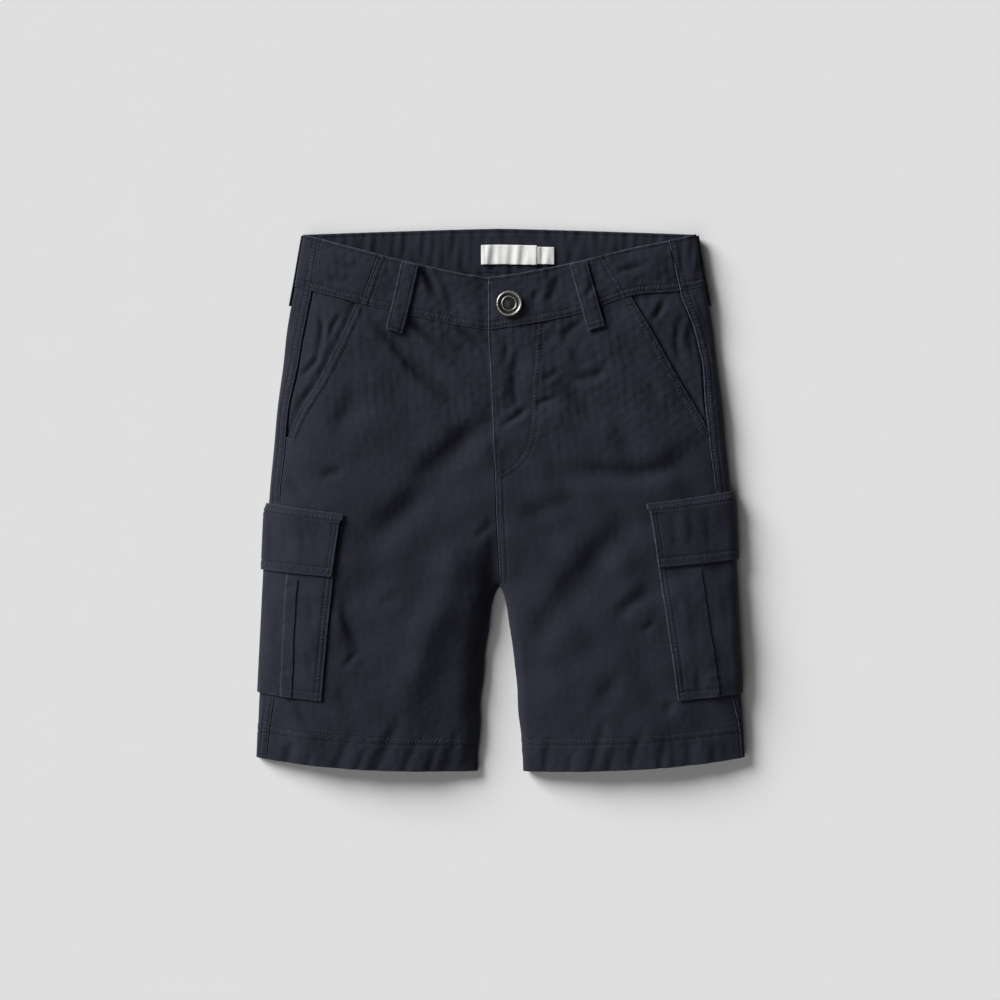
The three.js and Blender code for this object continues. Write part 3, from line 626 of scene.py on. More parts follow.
def shell_faces(shape, stride, turned_in):
    """Faces of a closed wall: an outer grid, an inner one with every stride-th place, and rims."""
    rows, cols = shape
    kept_rows = np.unique(np.append(np.arange(0, rows, stride), rows - 1))
    kept_cols = np.unique(np.append(np.arange(0, cols, stride), cols - 1))
    outer = np.arange(rows * cols).reshape(rows, cols)
    inner = rows * cols + np.arange(len(kept_rows) * len(kept_cols)).reshape(len(kept_rows), -1)
    faces = grid_quads(outer, turned_in).tolist() + grid_quads(inner, not turned_in).tolist()
    sides = (
        (outer[0], kept_cols, inner[0], True),
        (outer[:, -1], kept_rows, inner[:, -1], True),
        (outer[-1], kept_cols, inner[-1], False),
        (outer[:, 0], kept_rows, inner[:, 0], False),
    )
    for outer_side, kept, inner_side, flip in sides:
        faces += zip_side(outer_side.tolist(), kept.tolist(), inner_side.tolist(), flip != turned_in)
    return faces, kept_rows, kept_cols


def add_mesh(name, points, faces, material, cloth=None, wear_and_painted_shade=None, pucker_and_crease_shade=None):
    """A smooth-shaded object from points in millimetres, with its cloth places, the marks on its edges
    (wear on cloth and metal, painted shade on a label), and the phase and strength of its puckers with
    the depth of its creases, from which painted shade and highlight are put into the cloth's colour.
    Nothing reaches below the surface."""
    points[:, 2] = np.maximum(points[:, 2], 0)
    mesh = bpy.data.meshes.new(name)
    mesh.from_pydata((points * MM).tolist(), [], faces)
    mesh.polygons.foreach_set("use_smooth", np.ones(len(mesh.polygons), bool))
    for label, kind, field, values in (
        ("cloth", "FLOAT_VECTOR", "vector", cloth),
        ("wear_and_painted_shade", "FLOAT", "value", wear_and_painted_shade),
        ("pucker_and_crease_shade", "FLOAT_VECTOR", "vector", pucker_and_crease_shade),
    ):
        if values is not None:
            attribute = mesh.attributes.new(label, kind, "POINT")
            attribute.data.foreach_set(field, values.astype(np.float32).ravel())
    mesh.materials.append(material)
    mesh.update()
    piece = bpy.data.objects.new(name, mesh)
    bpy.context.scene.collection.objects.link(piece)
    return piece


# Sewing


def row(path, pucker_gap=0.0, slant=0.0):
    """A row of stitches along (level, girth) points. pucker_gap is the signed distance to its
    partner row, with puckers between the two."""
    return {"path": np.array(path, float), "pucker_gap": pucker_gap, "slant": slant}


def sewn_relief(rows, level, girth):
    """How far stitching moves the outer face: a groove under each row, a swell between two."""
    height = np.zeros(level.shape)
    for item in rows:
        gap = item["pucker_gap"]
        along, away, _, mask = along_path(item["path"], level, girth, abs(gap) + 3)
        height[mask] -= GROOVE * np.exp(-((away / 0.55) ** 2))
        if gap:
            share = np.clip(away / gap, 0, 1)
            uneven = 0.65 + 0.35 * np.sin(along / 17 + 1)
            height[mask] += SWELL * uneven * np.sin(np.pi * share)
    return height


def pucker_places(rows, level, girth):
    """Phase and strength of the puckers that the material draws beside rows of stitches."""
    phase, strength = np.zeros(level.shape), np.zeros(level.shape)
    for item in rows:
        gap = item["pucker_gap"]
        if gap:
            along, away, _, mask = along_path(item["path"], level, girth, abs(gap) + 4)
            share = away / gap
            strong = smooth(1.7 * np.clip(1 - np.abs(share - 0.5) / 0.62, 0, 1))
            here = phase[mask]
            better = strong >= strength[mask]
            here[better] = ((along + item["slant"] * away) / PUCKER_PITCH)[better]
            phase[mask] = here
            strength[mask] = np.maximum(strength[mask], strong)
    return phase, strength


thread_groups = {}


def lay_stitches(group, sign, path, offset, facing=1, pitch=STITCH_PITCH, length=STITCH_LENGTH):
    """Stitches along a path. facing is 1 on the outer face and -1 on the inner one."""
    lengths = path_length(path)
    count = int((lengths[-1] - 0.6) / pitch)
    starts = (lengths[-1] - count * pitch) / 2 + np.arange(count) * pitch + (pitch - length) / 2
    ends = []
    for at in (starts, starts + length):
        level, girth = np.interp(at, lengths, path[:, 0]), np.interp(at, lengths, path[:, 1])
        ends.append(place(sign, level, girth[:, None], offset(level, girth)[:, None]))
    (first, normals), (last, _) = ends
    thread_groups.setdefault(group, []).append((first[:, 0], last[:, 0], facing * normals[:, 0]))


def ring_quads(rings, sides):
    """Quads between each ring of points and the next."""
    faces = []
    for i in range(rings - 1):
        for k in range(sides):
            a, b = i * sides + k, i * sides + (k + 1) % sides
            faces.append((a, b, b + sides, a + sides))
    return faces


def thread_template():
    """A stitch along its first axis from -1 to 1: rings of a bent, round-ended strand."""
    stations = np.array([-1.0, -0.86, -0.45, 0.0, 0.45, 0.86, 1.0])
    swell = np.array([0.35, 0.8, 1.0, 1.0, 1.0, 0.8, 0.35])
    sides = 5
    angle = 2 * np.pi * np.arange(sides) / sides
    sink = 1.5 * THREAD_RADIUS * stations**4
    rings = np.stack(
        [
            np.repeat(stations, sides),
            np.outer(swell, np.cos(angle)).ravel() * THREAD_RADIUS,
            (np.outer(swell, np.sin(angle)) * THREAD_RADIUS - sink[:, None]).ravel(),
        ],
        axis=1,
    )
    faces = ring_quads(len(stations), sides)
    faces.append(tuple(range(sides))[::-1])
    faces.append(tuple(range(len(rings) - sides, len(rings))))
    return rings, faces


def add_threads(material):
    rings, template = thread_template()
    for group, runs in thread_groups.items():
        first, last, up = (np.concatenate([run[k] for run in runs]) for k in range(3))
        half = (last - first) / 2
        reach = np.linalg.norm(half, axis=1, keepdims=True)
        beside = np.cross(up, half / reach)
        points = (
            ((first + last) / 2)[:, None]
            + half[:, None] * rings[None, :, :1]
            + beside[:, None] * rings[None, :, 1:2]
            + up[:, None] * rings[None, :, 2:]
        )
        faces = [tuple(k * len(rings) + i for i in face) for k in range(len(first)) for face in template]
        spot = np.repeat(np.arange(len(first)), len(rings))
        cloth = np.stack([spot * 3.7, np.tile(rings[:, 0], len(first)), 0 * spot], axis=1)
        piece = add_mesh(f"stitching_{group}", points.reshape(-1, 3), faces, material, cloth, 0 * spot)
        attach(piece, "root")


def cloth_piece(
    node, sign, levels, girths, inner, outer, rows=(), inner_rows=(), wear_and_painted_shade=None, wear_and_shade_rows=(),
    group="seams", stride=3, material=None, piece=None,
):
    """A closed wall of cloth in place of a CAD node, of twill if no material is named. inner and outer
    give its faces' offsets at (level, girth), and a dictionary of edges the strength of the marks along
    them: wear that pales the cloth, and painted shade that greys a label. stride is how many steps of the
    outer face the inner one takes at once."""
    level = levels[:, None] + 0 * girths
    low, high = inner(level, girths), outer(level, girths)
    high = high + sewn_relief(rows, level, girths)
    low = low - sewn_relief(inner_rows, level, girths)
    edges = {
        "bottom": level - levels[0],
        "top": levels[-1] - level,
        "start": girths - girths[:, :1],
        "end": girths[:, -1:] - girths,
    }
    nearest = np.minimum.reduce(list(edges.values()))
    radius = 0.46 * np.minimum(high - low, 2 * EDGE[3])
    drop = radius - np.sqrt(np.maximum(radius**2 - (radius - np.minimum(nearest, radius)) ** 2, 0))
    faces, kept_rows, kept_cols = shell_faces(girths.shape, stride, sign > 0)
    outer_points, _ = place(sign, levels, girths, high - drop)
    kept = np.ix_(kept_rows, kept_cols)
    inner_points, _ = place(sign, levels[kept_rows], girths[kept], (low + drop)[kept])

    # Marks along the edges and along given lines: wear on cloth, painted shade on a label.
    fade = np.zeros(level.shape)
    for edge, strength in (wear_and_painted_shade or {}).items():
        fade = np.maximum(fade, strength * np.exp(-((edges[edge] / 0.65) ** 2)))
    for path, strength in wear_and_shade_rows:
        _, away, _, mask = along_path(np.array(path), level, girths, 4)
        fade[mask] = np.maximum(fade[mask], strength * np.exp(-((away / 0.6) ** 2)))
    phase, strength = pucker_places(rows, level, girths)
    # Painted shade: the deeper a crease of the front, the darker its colour is made.
    pressed = -crease_height(CREASES, outer_points[..., 0], outer_points[..., 1], 0) * smooth(girths / 14)
    pucker_and_crease_shade = np.stack([phase, strength, np.clip(pressed / 1.3, 0, 1)], axis=-1)

    points = np.concatenate([outer_points.reshape(-1, 3), inner_points.reshape(-1, 3)])
    places = np.stack([girths, level, 0 * level], axis=-1)
    cloth = np.concatenate([places.reshape(-1, 3), places[kept].reshape(-1, 3)])
    wear_and_shade_values = np.concatenate([fade.ravel(), fade[kept].ravel()])
    inner_pucker_and_crease_shade = pucker_and_crease_shade[kept] * (0, 0, 1)
    if inner_rows:
        inside = pucker_places(inner_rows, level, girths)
        inner_pucker_and_crease_shade = np.stack([*inside, 0 * level], axis=-1)[kept]
    all_pucker_and_crease_shade = np.concatenate([pucker_and_crease_shade.reshape(-1, 3), inner_pucker_and_crease_shade.reshape(-1, 3)])
    made = add_mesh(piece or f"{node}_cloth", points, faces, material or TWILL, cloth, wear_and_shade_values, all_pucker_and_crease_shade)
    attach(made, "root")
    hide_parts(node)
    for item in rows:
        lay_stitches(group, sign, item["path"], lambda a, b: outer(a, b) - GROOVE + 0.5 * THREAD_RADIUS)
    for item in inner_rows:
        sunk = GROOVE - 0.5 * THREAD_RADIUS
        lay_stitches(group, sign, item["path"], lambda a, b: inner(a, b) + sunk, facing=-1)
    return made


def up_line(line, low, high, shift=0.0, step=8.0):
    """A path that follows a line of the cloth from one level to another."""
    levels = np.linspace(low, high, max(2, int((high - low) / step)))
    return np.stack([levels, line(levels) + shift], axis=1)


def level_line(level, start, end):
    return np.array([(level, start), (level, end)], float)


def beside_path(path, distance):
    """The path moved sideways, to its left if distance is positive."""
    tangents = np.gradient(path, axis=0)
    tangents /= np.linalg.norm(tangents, axis=1, keepdims=True)
    return path + distance * np.stack([-tangents[:, 1], tangents[:, 0]], axis=1)


def bartack(group, sign, level, girth, offset, width, height, count=7):
    """A short bar of close stitches, width across and height up the cloth."""
    for k in range(count):
        share = k / (count - 1) - 0.5
        if width > height:
            at = girth + share * width
            path = np.array([(level - height / 2, at), (level + height / 2, at)])
        else:
            at = level + share * height
            path = np.array([(at, girth - width / 2), (at, girth + width / 2)])
        span = min(width, height)
        lay_stitches(group, sign, path, offset, pitch=span - 0.6, length=span - 0.8)


# Materials


def new_material(name, base, roughness, sheen=0.0, metallic=0.0, specular=0.5):
    material = bpy.data.materials.new(name)
    material.use_nodes = True
    shader = material.node_tree.nodes["Principled BSDF"]
    shader.inputs["Base Color"].default_value = (*base, 1)
    shader.inputs["Roughness"].default_value = roughness
    shader.inputs["Metallic"].default_value = metallic
    shader.inputs["Specular IOR Level"].default_value = specular
    shader.inputs["Sheen Weight"].default_value = sheen
    shader.inputs["Sheen Roughness"].default_value = 0.45
    return material, shader


class Graph:
    """Short calls that add and link a material's nodes."""

    def __init__(self, material):
        self.tree = material.node_tree

    def put(self, socket, value):
        if isinstance(value, bpy.types.NodeSocket):
            self.tree.links.new(value, socket)
        else:
            socket.default_value = value

    def node(self, kind, inputs, operation=None):
        """A new node with its inputs linked or filled in."""
        node = self.tree.nodes.new(kind)
        if operation:
            node.operation = operation
        for socket, value in inputs.items():
            self.put(node.inputs[socket], value)
        return node

    def attribute(self, name, output):
        node = self.node("ShaderNodeAttribute", {})
        node.attribute_name = name
        return node.outputs[output]

    def math(self, operation, first, second=0.0):
        return self.node("ShaderNodeMath", {0: first, 1: second}, operation).outputs[0]

    def times(self, *values):
        product = values[0]
        for value in values[1:]:
            product = self.math("MULTIPLY", product, value)
        return product

    def scaled(self, vector, factors):
        """A vector or colour times another, axis by axis."""
        return self.node("ShaderNodeVectorMath", {0: vector, 1: factors}, "MULTIPLY").outputs[0]

    def noise(self, vector, detail=2.0):
        inputs = {"Scale": 1.0, "Detail": detail, "Vector": vector}
        return self.node("ShaderNodeTexNoise", inputs).outputs["Fac"]

    def patches(self, vector, sizes, detail=2.0):
        """Noise whose patches are about sizes across."""
        return self.noise(self.scaled(vector, tuple(1 / size for size in sizes)), detail)

    def ranged(self, value, low, high, to_low, to_high):
        inputs = {"Value": value, "From Min": low, "From Max": high, "To Min": to_low, "To Max": to_high}
        return self.node("ShaderNodeMapRange", inputs).outputs["Result"]

    def mix(self, factor, first, second):
        node = self.node("ShaderNodeMix", {})
        node.data_type = "RGBA"
        for socket, value in ((0, factor), (6, first), (7, second)):
            self.put(node.inputs[socket], value)
        return node.outputs[2]

    def shaded(self, color, factor):
        """The colour times a factor."""
        return self.node("ShaderNodeVectorMath", {0: color, "Scale": factor}, "SCALE").outputs[0]

    def parts(self, vector):
        return self.node("ShaderNodeSeparateXYZ", {0: vector}).outputs

    def bump(self, height, shader):
        """Bump whose height is in millimetres."""
        node = self.node("ShaderNodeBump", {"Strength": 1.0, "Distance": MM, "Height": height})
        self.put(shader.inputs["Normal"], node.outputs["Normal"])

    def sine(self, vector, weights, pitch):
        """Parallel ribs at a pitch, whose direction is given by weights."""
        along = self.node("ShaderNodeVectorMath", {0: vector, 1: weights}, "DOT_PRODUCT").outputs["Value"]
        return self.math("SINE", self.times(along, 2 * math.pi / pitch))


def twill_material(name, base, faded):
    """Washed cotton twill: diagonal weave, uneven dye along the warp, puckered seams, edges and puckers
    worn paler, painted shade and highlight across the puckers, and painted shade in the creases, darker
    the deeper they are."""
    material, shader = new_material(name, base, 0.9, sheen=0.08, specular=0.2)
    graph = Graph(material)
    cloth = graph.attribute("cloth", "Vector")
    wear_and_painted_shade = graph.attribute("wear_and_painted_shade", "Fac")
    phase, strength, crease_depth = graph.parts(graph.attribute("pucker_and_crease_shade", "Vector"))
    dye = graph.ranged(graph.patches(cloth, (26, 30, 1), 5), 0.3, 0.7, 0.86, 1.14)
    warp = graph.ranged(graph.patches(cloth, (1.3, 13, 1)), 0.3, 0.7, 0.95, 1.05)
    weft = graph.ranged(graph.patches(cloth, (15, 1.5, 1)), 0.3, 0.7, 0.94, 1.06)
    grain = graph.patches(cloth, (0.8, 1, 1))
    twill = graph.sine(cloth, (1.0, 0.55, 0), 0.8)
    turned = graph.math("ADD", phase, graph.times(graph.patches(cloth, (5, 5, 1)), 2.2))
    uneven = graph.ranged(graph.patches(cloth, (7, 7, 1)), 0.35, 0.65, 0.1, 1.1)
    pucker = graph.times(graph.math("SINE", graph.times(turned, 2 * math.pi)), strength, uneven)

    speckle = graph.ranged(grain, 0.3, 0.7, 0.86, 1.14)
    ribs = graph.ranged(twill, -1, 1, 0.95, 1.05)
    # Painted shade in the creases, darker the deeper they are.
    painted_crease_shade = graph.ranged(crease_depth, 0, 1, 1.0, 0.58)
    # Painted shade and highlight across the puckers: darker in their troughs, paler on their crests.
    painted_pucker_shade = graph.ranged(pucker, -1, 1, 0.66, 1.12)
    tone = graph.times(dye, warp, weft, speckle, ribs, painted_crease_shade, painted_pucker_shade)
    patchy = graph.ranged(graph.patches(cloth, (4, 4, 1)), 0.35, 0.62, 0.3, 1.0)
    wear = graph.times(wear_and_painted_shade, patchy, graph.ranged(grain, 0.35, 0.65, 0.5, 1.1))
    crest = graph.times(graph.math("MAXIMUM", pucker, 0.0), 0.1)
    color = graph.mix(graph.math("ADD", wear, crest), (*base, 1), (*faded, 1))
    warm = graph.ranged(graph.patches(cloth, (17, 13, 1), 3), 0.35, 0.65, 0.0, 1.0)
    color = graph.scaled(color, graph.mix(warm, (0.965, 1.01, 1.01, 1), (1.035, 0.99, 1.01, 1)))
    graph.put(shader.inputs["Base Color"], graph.shaded(color, tone))

    height = graph.times(twill, 0.03)
    for layer, share in ((grain, 0.14), (graph.patches(cloth, (5, 6, 1), 3), 0.35), (pucker, PUCKER)):
        height = graph.math("ADD", height, graph.times(layer, share))
    graph.bump(height, shader)
    return material


def thread_material():
    # The navy thread is made darker than the cloth, partly its own colour and partly painted shade of the
    # needle holes along each row.
    base = (0.010, 0.0105, 0.015)
    material, shader = new_material("navy_thread", base, 0.7, specular=0.25)
    graph = Graph(material)
    cloth = graph.attribute("cloth", "Vector")
    tone = graph.ranged(graph.noise(graph.scaled(cloth, (1.3, 0.4, 1)), 1), 0.3, 0.7, 0.65, 1.4)
    graph.put(shader.inputs["Base Color"], graph.shaded((*base,), tone))
    graph.bump(graph.times(graph.sine(cloth, (0, 1.0, 0), 0.33), 0.04), shader)
    return material


def label_material():
    base = (0.80, 0.80, 0.785)
    material, shader = new_material("label_ribbon", base, 0.65, sheen=0.1, specular=0.3)
    graph = Graph(material)
    cloth = graph.attribute("cloth", "Vector")
    weft = graph.sine(cloth, (0, 1.0, 0), 0.5)
    warp = graph.sine(cloth, (1.0, 0, 0), 0.42)
    grain = graph.ranged(graph.patches(cloth, (1.2, 0.8, 1)), 0.3, 0.7, 0.95, 1.04)
    tone = graph.times(grain, graph.ranged(weft, -1, 1, 0.97, 1.0))
    # The label's edges and its turned-in folds are painted grey as shade.
    wear_and_painted_shade = graph.attribute("wear_and_painted_shade", "Fac")
    color = graph.mix(wear_and_painted_shade, (*base, 1), (0.5, 0.5, 0.49, 1))
    graph.put(shader.inputs["Base Color"], graph.shaded(color, tone))
    graph.bump(graph.times(graph.math("ADD", weft, warp), 0.025), shader)
    return material


def metal_material():
    base, bright = (0.045, 0.045, 0.044), (0.42, 0.41, 0.39)
    material, shader = new_material("antique_metal", base, 0.38, metallic=1.0)
    graph = Graph(material)
    cloth = graph.attribute("cloth", "Vector")
    wear_and_painted_shade = graph.attribute("wear_and_painted_shade", "Fac")
    cast = graph.patches(cloth, (0.9, 0.9, 0.9), 4)
    wear = graph.times(wear_and_painted_shade, graph.ranged(cast, 0.3, 0.6, 0.4, 1.1))
    color = graph.mix(wear, (*base, 1), (*bright, 1))
    graph.put(shader.inputs["Base Color"], graph.shaded(color, graph.ranged(cast, 0.3, 0.7, 0.7, 1.3)))
    graph.put(shader.inputs["Roughness"], graph.ranged(cast, 0.3, 0.7, 0.3, 0.55))
    graph.bump(graph.times(cast, 0.12), shader)
    return material


NAVY = (0.0160, 0.0176, 0.0290)
FADED = (0.085, 0.092, 0.126)
TWILL = twill_material("navy_twill_cloth", NAVY, FADED)
THREAD = thread_material()
RIBBON = label_material()
METAL = metal_material()


# Panels


def even(offset):
    """A face of the cloth that keeps one offset."""
    return lambda level, girth: offset + 0 * level * girth


def moved(face, offset):
    """A face at a steady distance from another."""
    return lambda level, girth: face(level, girth) + offset


def line_of(levels, girths):
    """The girth at any level of a line known at some levels."""
    return lambda level: np.interp(level, levels, girths)


def row_stops(at):
    """Columns for the groove under an upright row of stitches."""
    return [at - 0.6, at, at + 0.6]


def hem_step(level):
    return HEM_EXTRA * smooth(HEM_ROWS[1] + 1.2 - level)


def front_panel(side):
    sign = SIDES[side]
    mouth_levels, mouth_girths = LINES[side]["mouth"]
    mouth_end = mouth_levels[0]
    top = BAND_LEVEL - HALF_GAP
    levels = upward(
        [0, HEM_ROWS[0] - 0.6, HEM_ROWS[0], HEM_ROWS[1], HEM_ROWS[1] + 0.9, CROTCH_LEVEL, mouth_end, top],
        [1.4, 0.6, 0.92, 0.3, 1.2, 1.2, 1.2],
    )
    seam = side_seam(side, levels) + HALF_GAP
    start = np.where(levels > mouth_end, np.maximum(seam, mouth_near(side, levels)), seam)
    middle = front_half(sign, levels)
    opened = smooth((levels - FLY_END_LEVEL - 8) / 12) if sign < 0 else 0
    end = middle - np.where(levels > CROTCH_LEVEL, 0, HALF_GAP) + FLY_LAP * opened
    stops = [start, *row_stops(start + SECOND_ROW), *row_stops(end - INSEAM_ROW), end]
    girths = across(stops, [1.2, 0.6, 0.6, 1.3, 0.6, 0.6, 1.2])

    def shift(level, girth):
        raised = FRONT_LAP_SHIFT * smooth((level - FLY_END_LEVEL + 4) / 12)
        return lap_shift(sign, level, girth, FLY_LAP, raised)

    def outer(level, girth):
        from_mouth = girth - mouth_near(side, level)
        mouth = HEM_EXTRA * smooth((SECOND_ROW + 1.6 - from_mouth) / 1.2) * (level > mouth_end - 2)
        fly = FLY_EXTRA * smooth((level - FLY_END_LEVEL + 6) / 4) if sign > 0 else 0
        lapped = fly * smooth((FLY_WIDTH - middle_near(sign, level) + girth) / 3)
        return shift(level, girth) + hem_step(level) + mouth + lapped

    mouth = np.stack([mouth_levels, mouth_girths], axis=1)
    mouth = np.concatenate([mouth, [(top, mouth_near(side, top) + 0.4)]])
    rows = [
        row(beside_path(mouth, FIRST_ROW), ROW_GAP),
        row(beside_path(mouth, SECOND_ROW)),
        row(level_line(HEM_ROWS[0], seam[0] + 0.5, middle[0] - 0.8), -(HEM_ROWS[1] - HEM_ROWS[0]), 0.8),
        row(level_line(HEM_ROWS[1], seam[0] + 0.5, middle[0] - 0.8)),
    ]
    if sign > 0:
        centre = lambda level: middle_near(sign, level)
        rows += [
            row(up_line(centre, CROTCH_LEVEL + 2, FLY_END_LEVEL - 2, -FIRST_ROW), -4, 0.7),
            row(up_line(centre, CROTCH_LEVEL + 2, FLY_END_LEVEL - 2, -INSEAM_ROW)),
            row(up_line(centre, FLY_END_LEVEL + 4, top, -FIRST_ROW)),
            *fly_rows(sign, top),
        ]
    wear_and_painted_shade = {"start": 0.5, "end": 0.85 if sign > 0 else 0.1, "bottom": 0.25}
    piece = cloth_piece(
        f"front_{side}", sign, levels, girths, moved(shift, -CLOTH), outer, rows=rows, wear_and_painted_shade=wear_and_painted_shade,
        group=f"front_{side}",
    )
    if sign > 0:
        level, girth = locate(sign, [1.5], [20.5])
        bartack("fly", sign, level[0], girth[0], outer, 1.8, 4.5)
    edge = beside_path(mouth, 4)
    for (level, girth), inward in ((edge[0], 3), (edge[-1], -3)):
        bartack("mouths", sign, level + inward, girth, outer, 4.5, 1.6)
    return piece


def fly_rows(sign, top):
    """The curved double row that holds the fly's facing, from the waistband to the fly's end."""
    curve = [(24.5, 154), (24.8, 94), (24.4, 67), (21.5, 42), (12, 27), (-1.0, 19.5)]
    path = rounded_path(curve[2:])
    path = np.concatenate([np.array(curve[:2], float), path])
    level, girth = locate(sign, path[:, 0], path[:, 1])
    level[0] = top
    inner = np.stack([level, girth], axis=1)
    return [row(inner, 4.4, 0.3), row(beside_path(inner, 4.4)[:-1])]


def back_panel(side):
    """The back turns over the side fold, and its felled edge shows as a strip on the front."""
    sign = SIDES[side]
    size = CARGO[side]
    top = BAND_LEVEL - HALF_GAP
    levels = upward([0, HEM_ROWS[0], HEM_ROWS[1] + 0.9, CROTCH_LEVEL, top], [1.6, 0.8, 1.6, 1.6])
    leg_gap = np.where(levels > CROTCH_LEVEL, 0, HALF_GAP)
    start = leg_gap - back_half(sign, levels)
    end = side_seam(side, levels) - HALF_GAP
    stops = [start, np.full(levels.shape, -6.0), end - SECOND_ROW, end - SECOND_ROW + 0.7, end]
    girths = across(stops, [3.4, 1.0, 0.7, 1.0])

    def outer(level, girth):
        clear = smooth((size["bottom"] - 2 - level) / 4) + smooth((level - size["flap_top"] - 2) / 4)
        felled = smooth((11 - seam_near(side, level) + girth) / 4)
        return FELLED_EXTRA * clear * felled + hem_step(level) * smooth((girth + 8) / 8)

    edge = lambda level: seam_near(side, level) - HALF_GAP
    rows = []
    for low, high in ((1, size["bottom"] - 3), (size["flap_top"] + 1.5, top)):
        rows.append(row(up_line(edge, low, high, -FIRST_ROW), -ROW_GAP))
        rows.append(row(up_line(edge, low, high, -SECOND_ROW)))
    for level in HEM_ROWS:
        rows.append(row(level_line(level, start[0] + 1, end[0] - 0.6)))
    centre = line_of(levels, start)
    rows.append(row(up_line(centre, 1, CROTCH_LEVEL - 4, FIRST_ROW)))
    rows.append(row(up_line(centre, CROTCH_LEVEL + 3, top, FIRST_ROW)))
    return cloth_piece(
        f"back_{side}", sign, levels, girths, even(-CLOTH), outer, rows=rows,
        wear_and_painted_shade={"end": 0.5, "bottom": 0.2}, group=f"back_{side}",
    )


def pocket_facing(side):
    """What shows inside a slanted pocket, under the front and the back's edge."""
    sunk = CLOTH + LAYER_GAP
    mouth_end = LINES[side]["mouth"][0][0]
    levels = upward([mouth_end - 8, BAND_LEVEL - HALF_GAP], [1.6])
    seam = side_seam(side, levels)
    girths = across([seam - 3, np.maximum(mouth_near(side, levels), seam) + 12], [1.6])

    def outer(level, girth):
        """The facing lies slack in the mouth, nearly level with the cloth round it."""
        slack = FACING_SLACK * smooth((girth - seam_near(side, level)) / 1.4)
        return slack * smooth((mouth_near(side, level) - 0.5 - girth) / 7) - sunk

    return cloth_piece(
        f"pocket_facing_{side}", SIDES[side], levels, girths, moved(outer, -CLOTH), outer,
    )


# Waistband

BAND_BOTTOM = BAND_LEVEL + HALF_GAP
BAND_ROWS = (FIRST_ROW, 5.6)
BAND_TOP_ROW = 2.8
PLACKET = 30.5


def band_levels():
    return upward([BAND_BOTTOM - 0.2, BAND_BOTTOM + 5, BAND_BOTTOM + 6.2, SIDE_LENGTH], [0.7, 0.6, 0.9])


def band_rows(start, end):
    """Rows of stitches along the waistband: two above its seam and one below its top."""
    low, high = (BAND_BOTTOM + step for step in BAND_ROWS)
    return [
        row(level_line(low, start(low) + 0.8, end(low) - 0.8), -(high - low)),
        row(level_line(high, start(high) + 0.8, end(high) - 0.8)),
        row(level_line(SIDE_LENGTH - BAND_TOP_ROW, start(SIDE_LENGTH) + 0.8, end(SIDE_LENGTH) - 0.8)),
    ]


def upright_row(line, shift, pucker_gap=0.0, low=1, high=1):
    """A row up the waistband beside a line, to low and high millimetres from its edges."""
    return row(up_line(line, BAND_BOTTOM + low, SIDE_LENGTH - high, shift, 5), pucker_gap)


def band_front(side):
    sign = SIDES[side]
    levels = band_levels()
    start = band_seam(side, levels) + HALF_GAP
    end = front_half(sign, levels) + (BAND_LAP if sign < 0 else -HALF_GAP)
    girths = across([start, start + 5.6, start + 6.4, end], [0.9, 0.8, 1.1])

    def shift(level, girth):
        return lap_shift(sign, level, girth, BAND_LAP, BAND_LAP_SHIFT)

    start_line, end_line = line_of(levels, start), line_of(levels, end)
    rows = band_rows(start_line, end_line)
    rows += [upright_row(start_line, FIRST_ROW, 4.2), upright_row(start_line, 5.8)]
    wear_and_painted_shade = {"top": 1.0, "bottom": 0.2, "start": 0.6}
    if sign > 0:
        wear_and_painted_shade["end"] = 1.0
        # The placket's inner edge shows through as a stitched line beside the button.
        rows += [
            upright_row(end_line, -FIRST_ROW, high=3),
            upright_row(end_line, -PLACKET, low=6, high=3),
        ]
    return cloth_piece(
        f"waistband_front_{side}", sign, levels, girths, moved(shift, -CLOTH), moved(shift, BAND_EXTRA),
        rows=rows, wear_and_painted_shade=wear_and_painted_shade, group="waistband",
    )


def band_side(side):
    levels = band_levels()
    start = side_seam(side, levels) + HALF_GAP
    end = band_seam(side, levels) - HALF_GAP
    return cloth_piece(
        f"waistband_side_{side}", SIDES[side], levels, across([start, end], [1.1]), even(-CLOTH),
        even(BAND_EXTRA), rows=band_rows(line_of(levels, start), line_of(levels, end)),
        wear_and_painted_shade={"top": 1.0, "bottom": 0.2, "start": 0.3}, group="waistband",
    )


def band_back():
    """The waistband's back, from one side seam round the whole back to the other."""
    levels = band_levels()
    whole = back_half(-1, levels) + back_half(1, levels)
    start = HALF_GAP - whole - side_seam("left", levels)
    end = side_seam("right", levels) - HALF_GAP
    girths = across([start, start + 34, end - 34, end], [1.0, 1.4, 1.0])
    start_line, end_line = line_of(levels, start), line_of(levels, end)
    rows = band_rows(start_line, end_line)
    for line, turn in ((start_line, 1), (end_line, -1)):
        rows += [upright_row(line, turn * FIRST_ROW, turn * 4.4), upright_row(line, turn * 6)]
    inside = [row(item["path"]) for item in band_rows(start_line, end_line)]
    return cloth_piece(
        "waistband_back", -1, levels, girths, even(-CLOTH), even(BAND_EXTRA), rows=rows,
        inner_rows=inside, wear_and_painted_shade={"top": 0.8, "bottom": 0.1, "start": 0.9, "end": 0.9},
        group="waistband_back", stride=1,
    )


# Cargo pockets


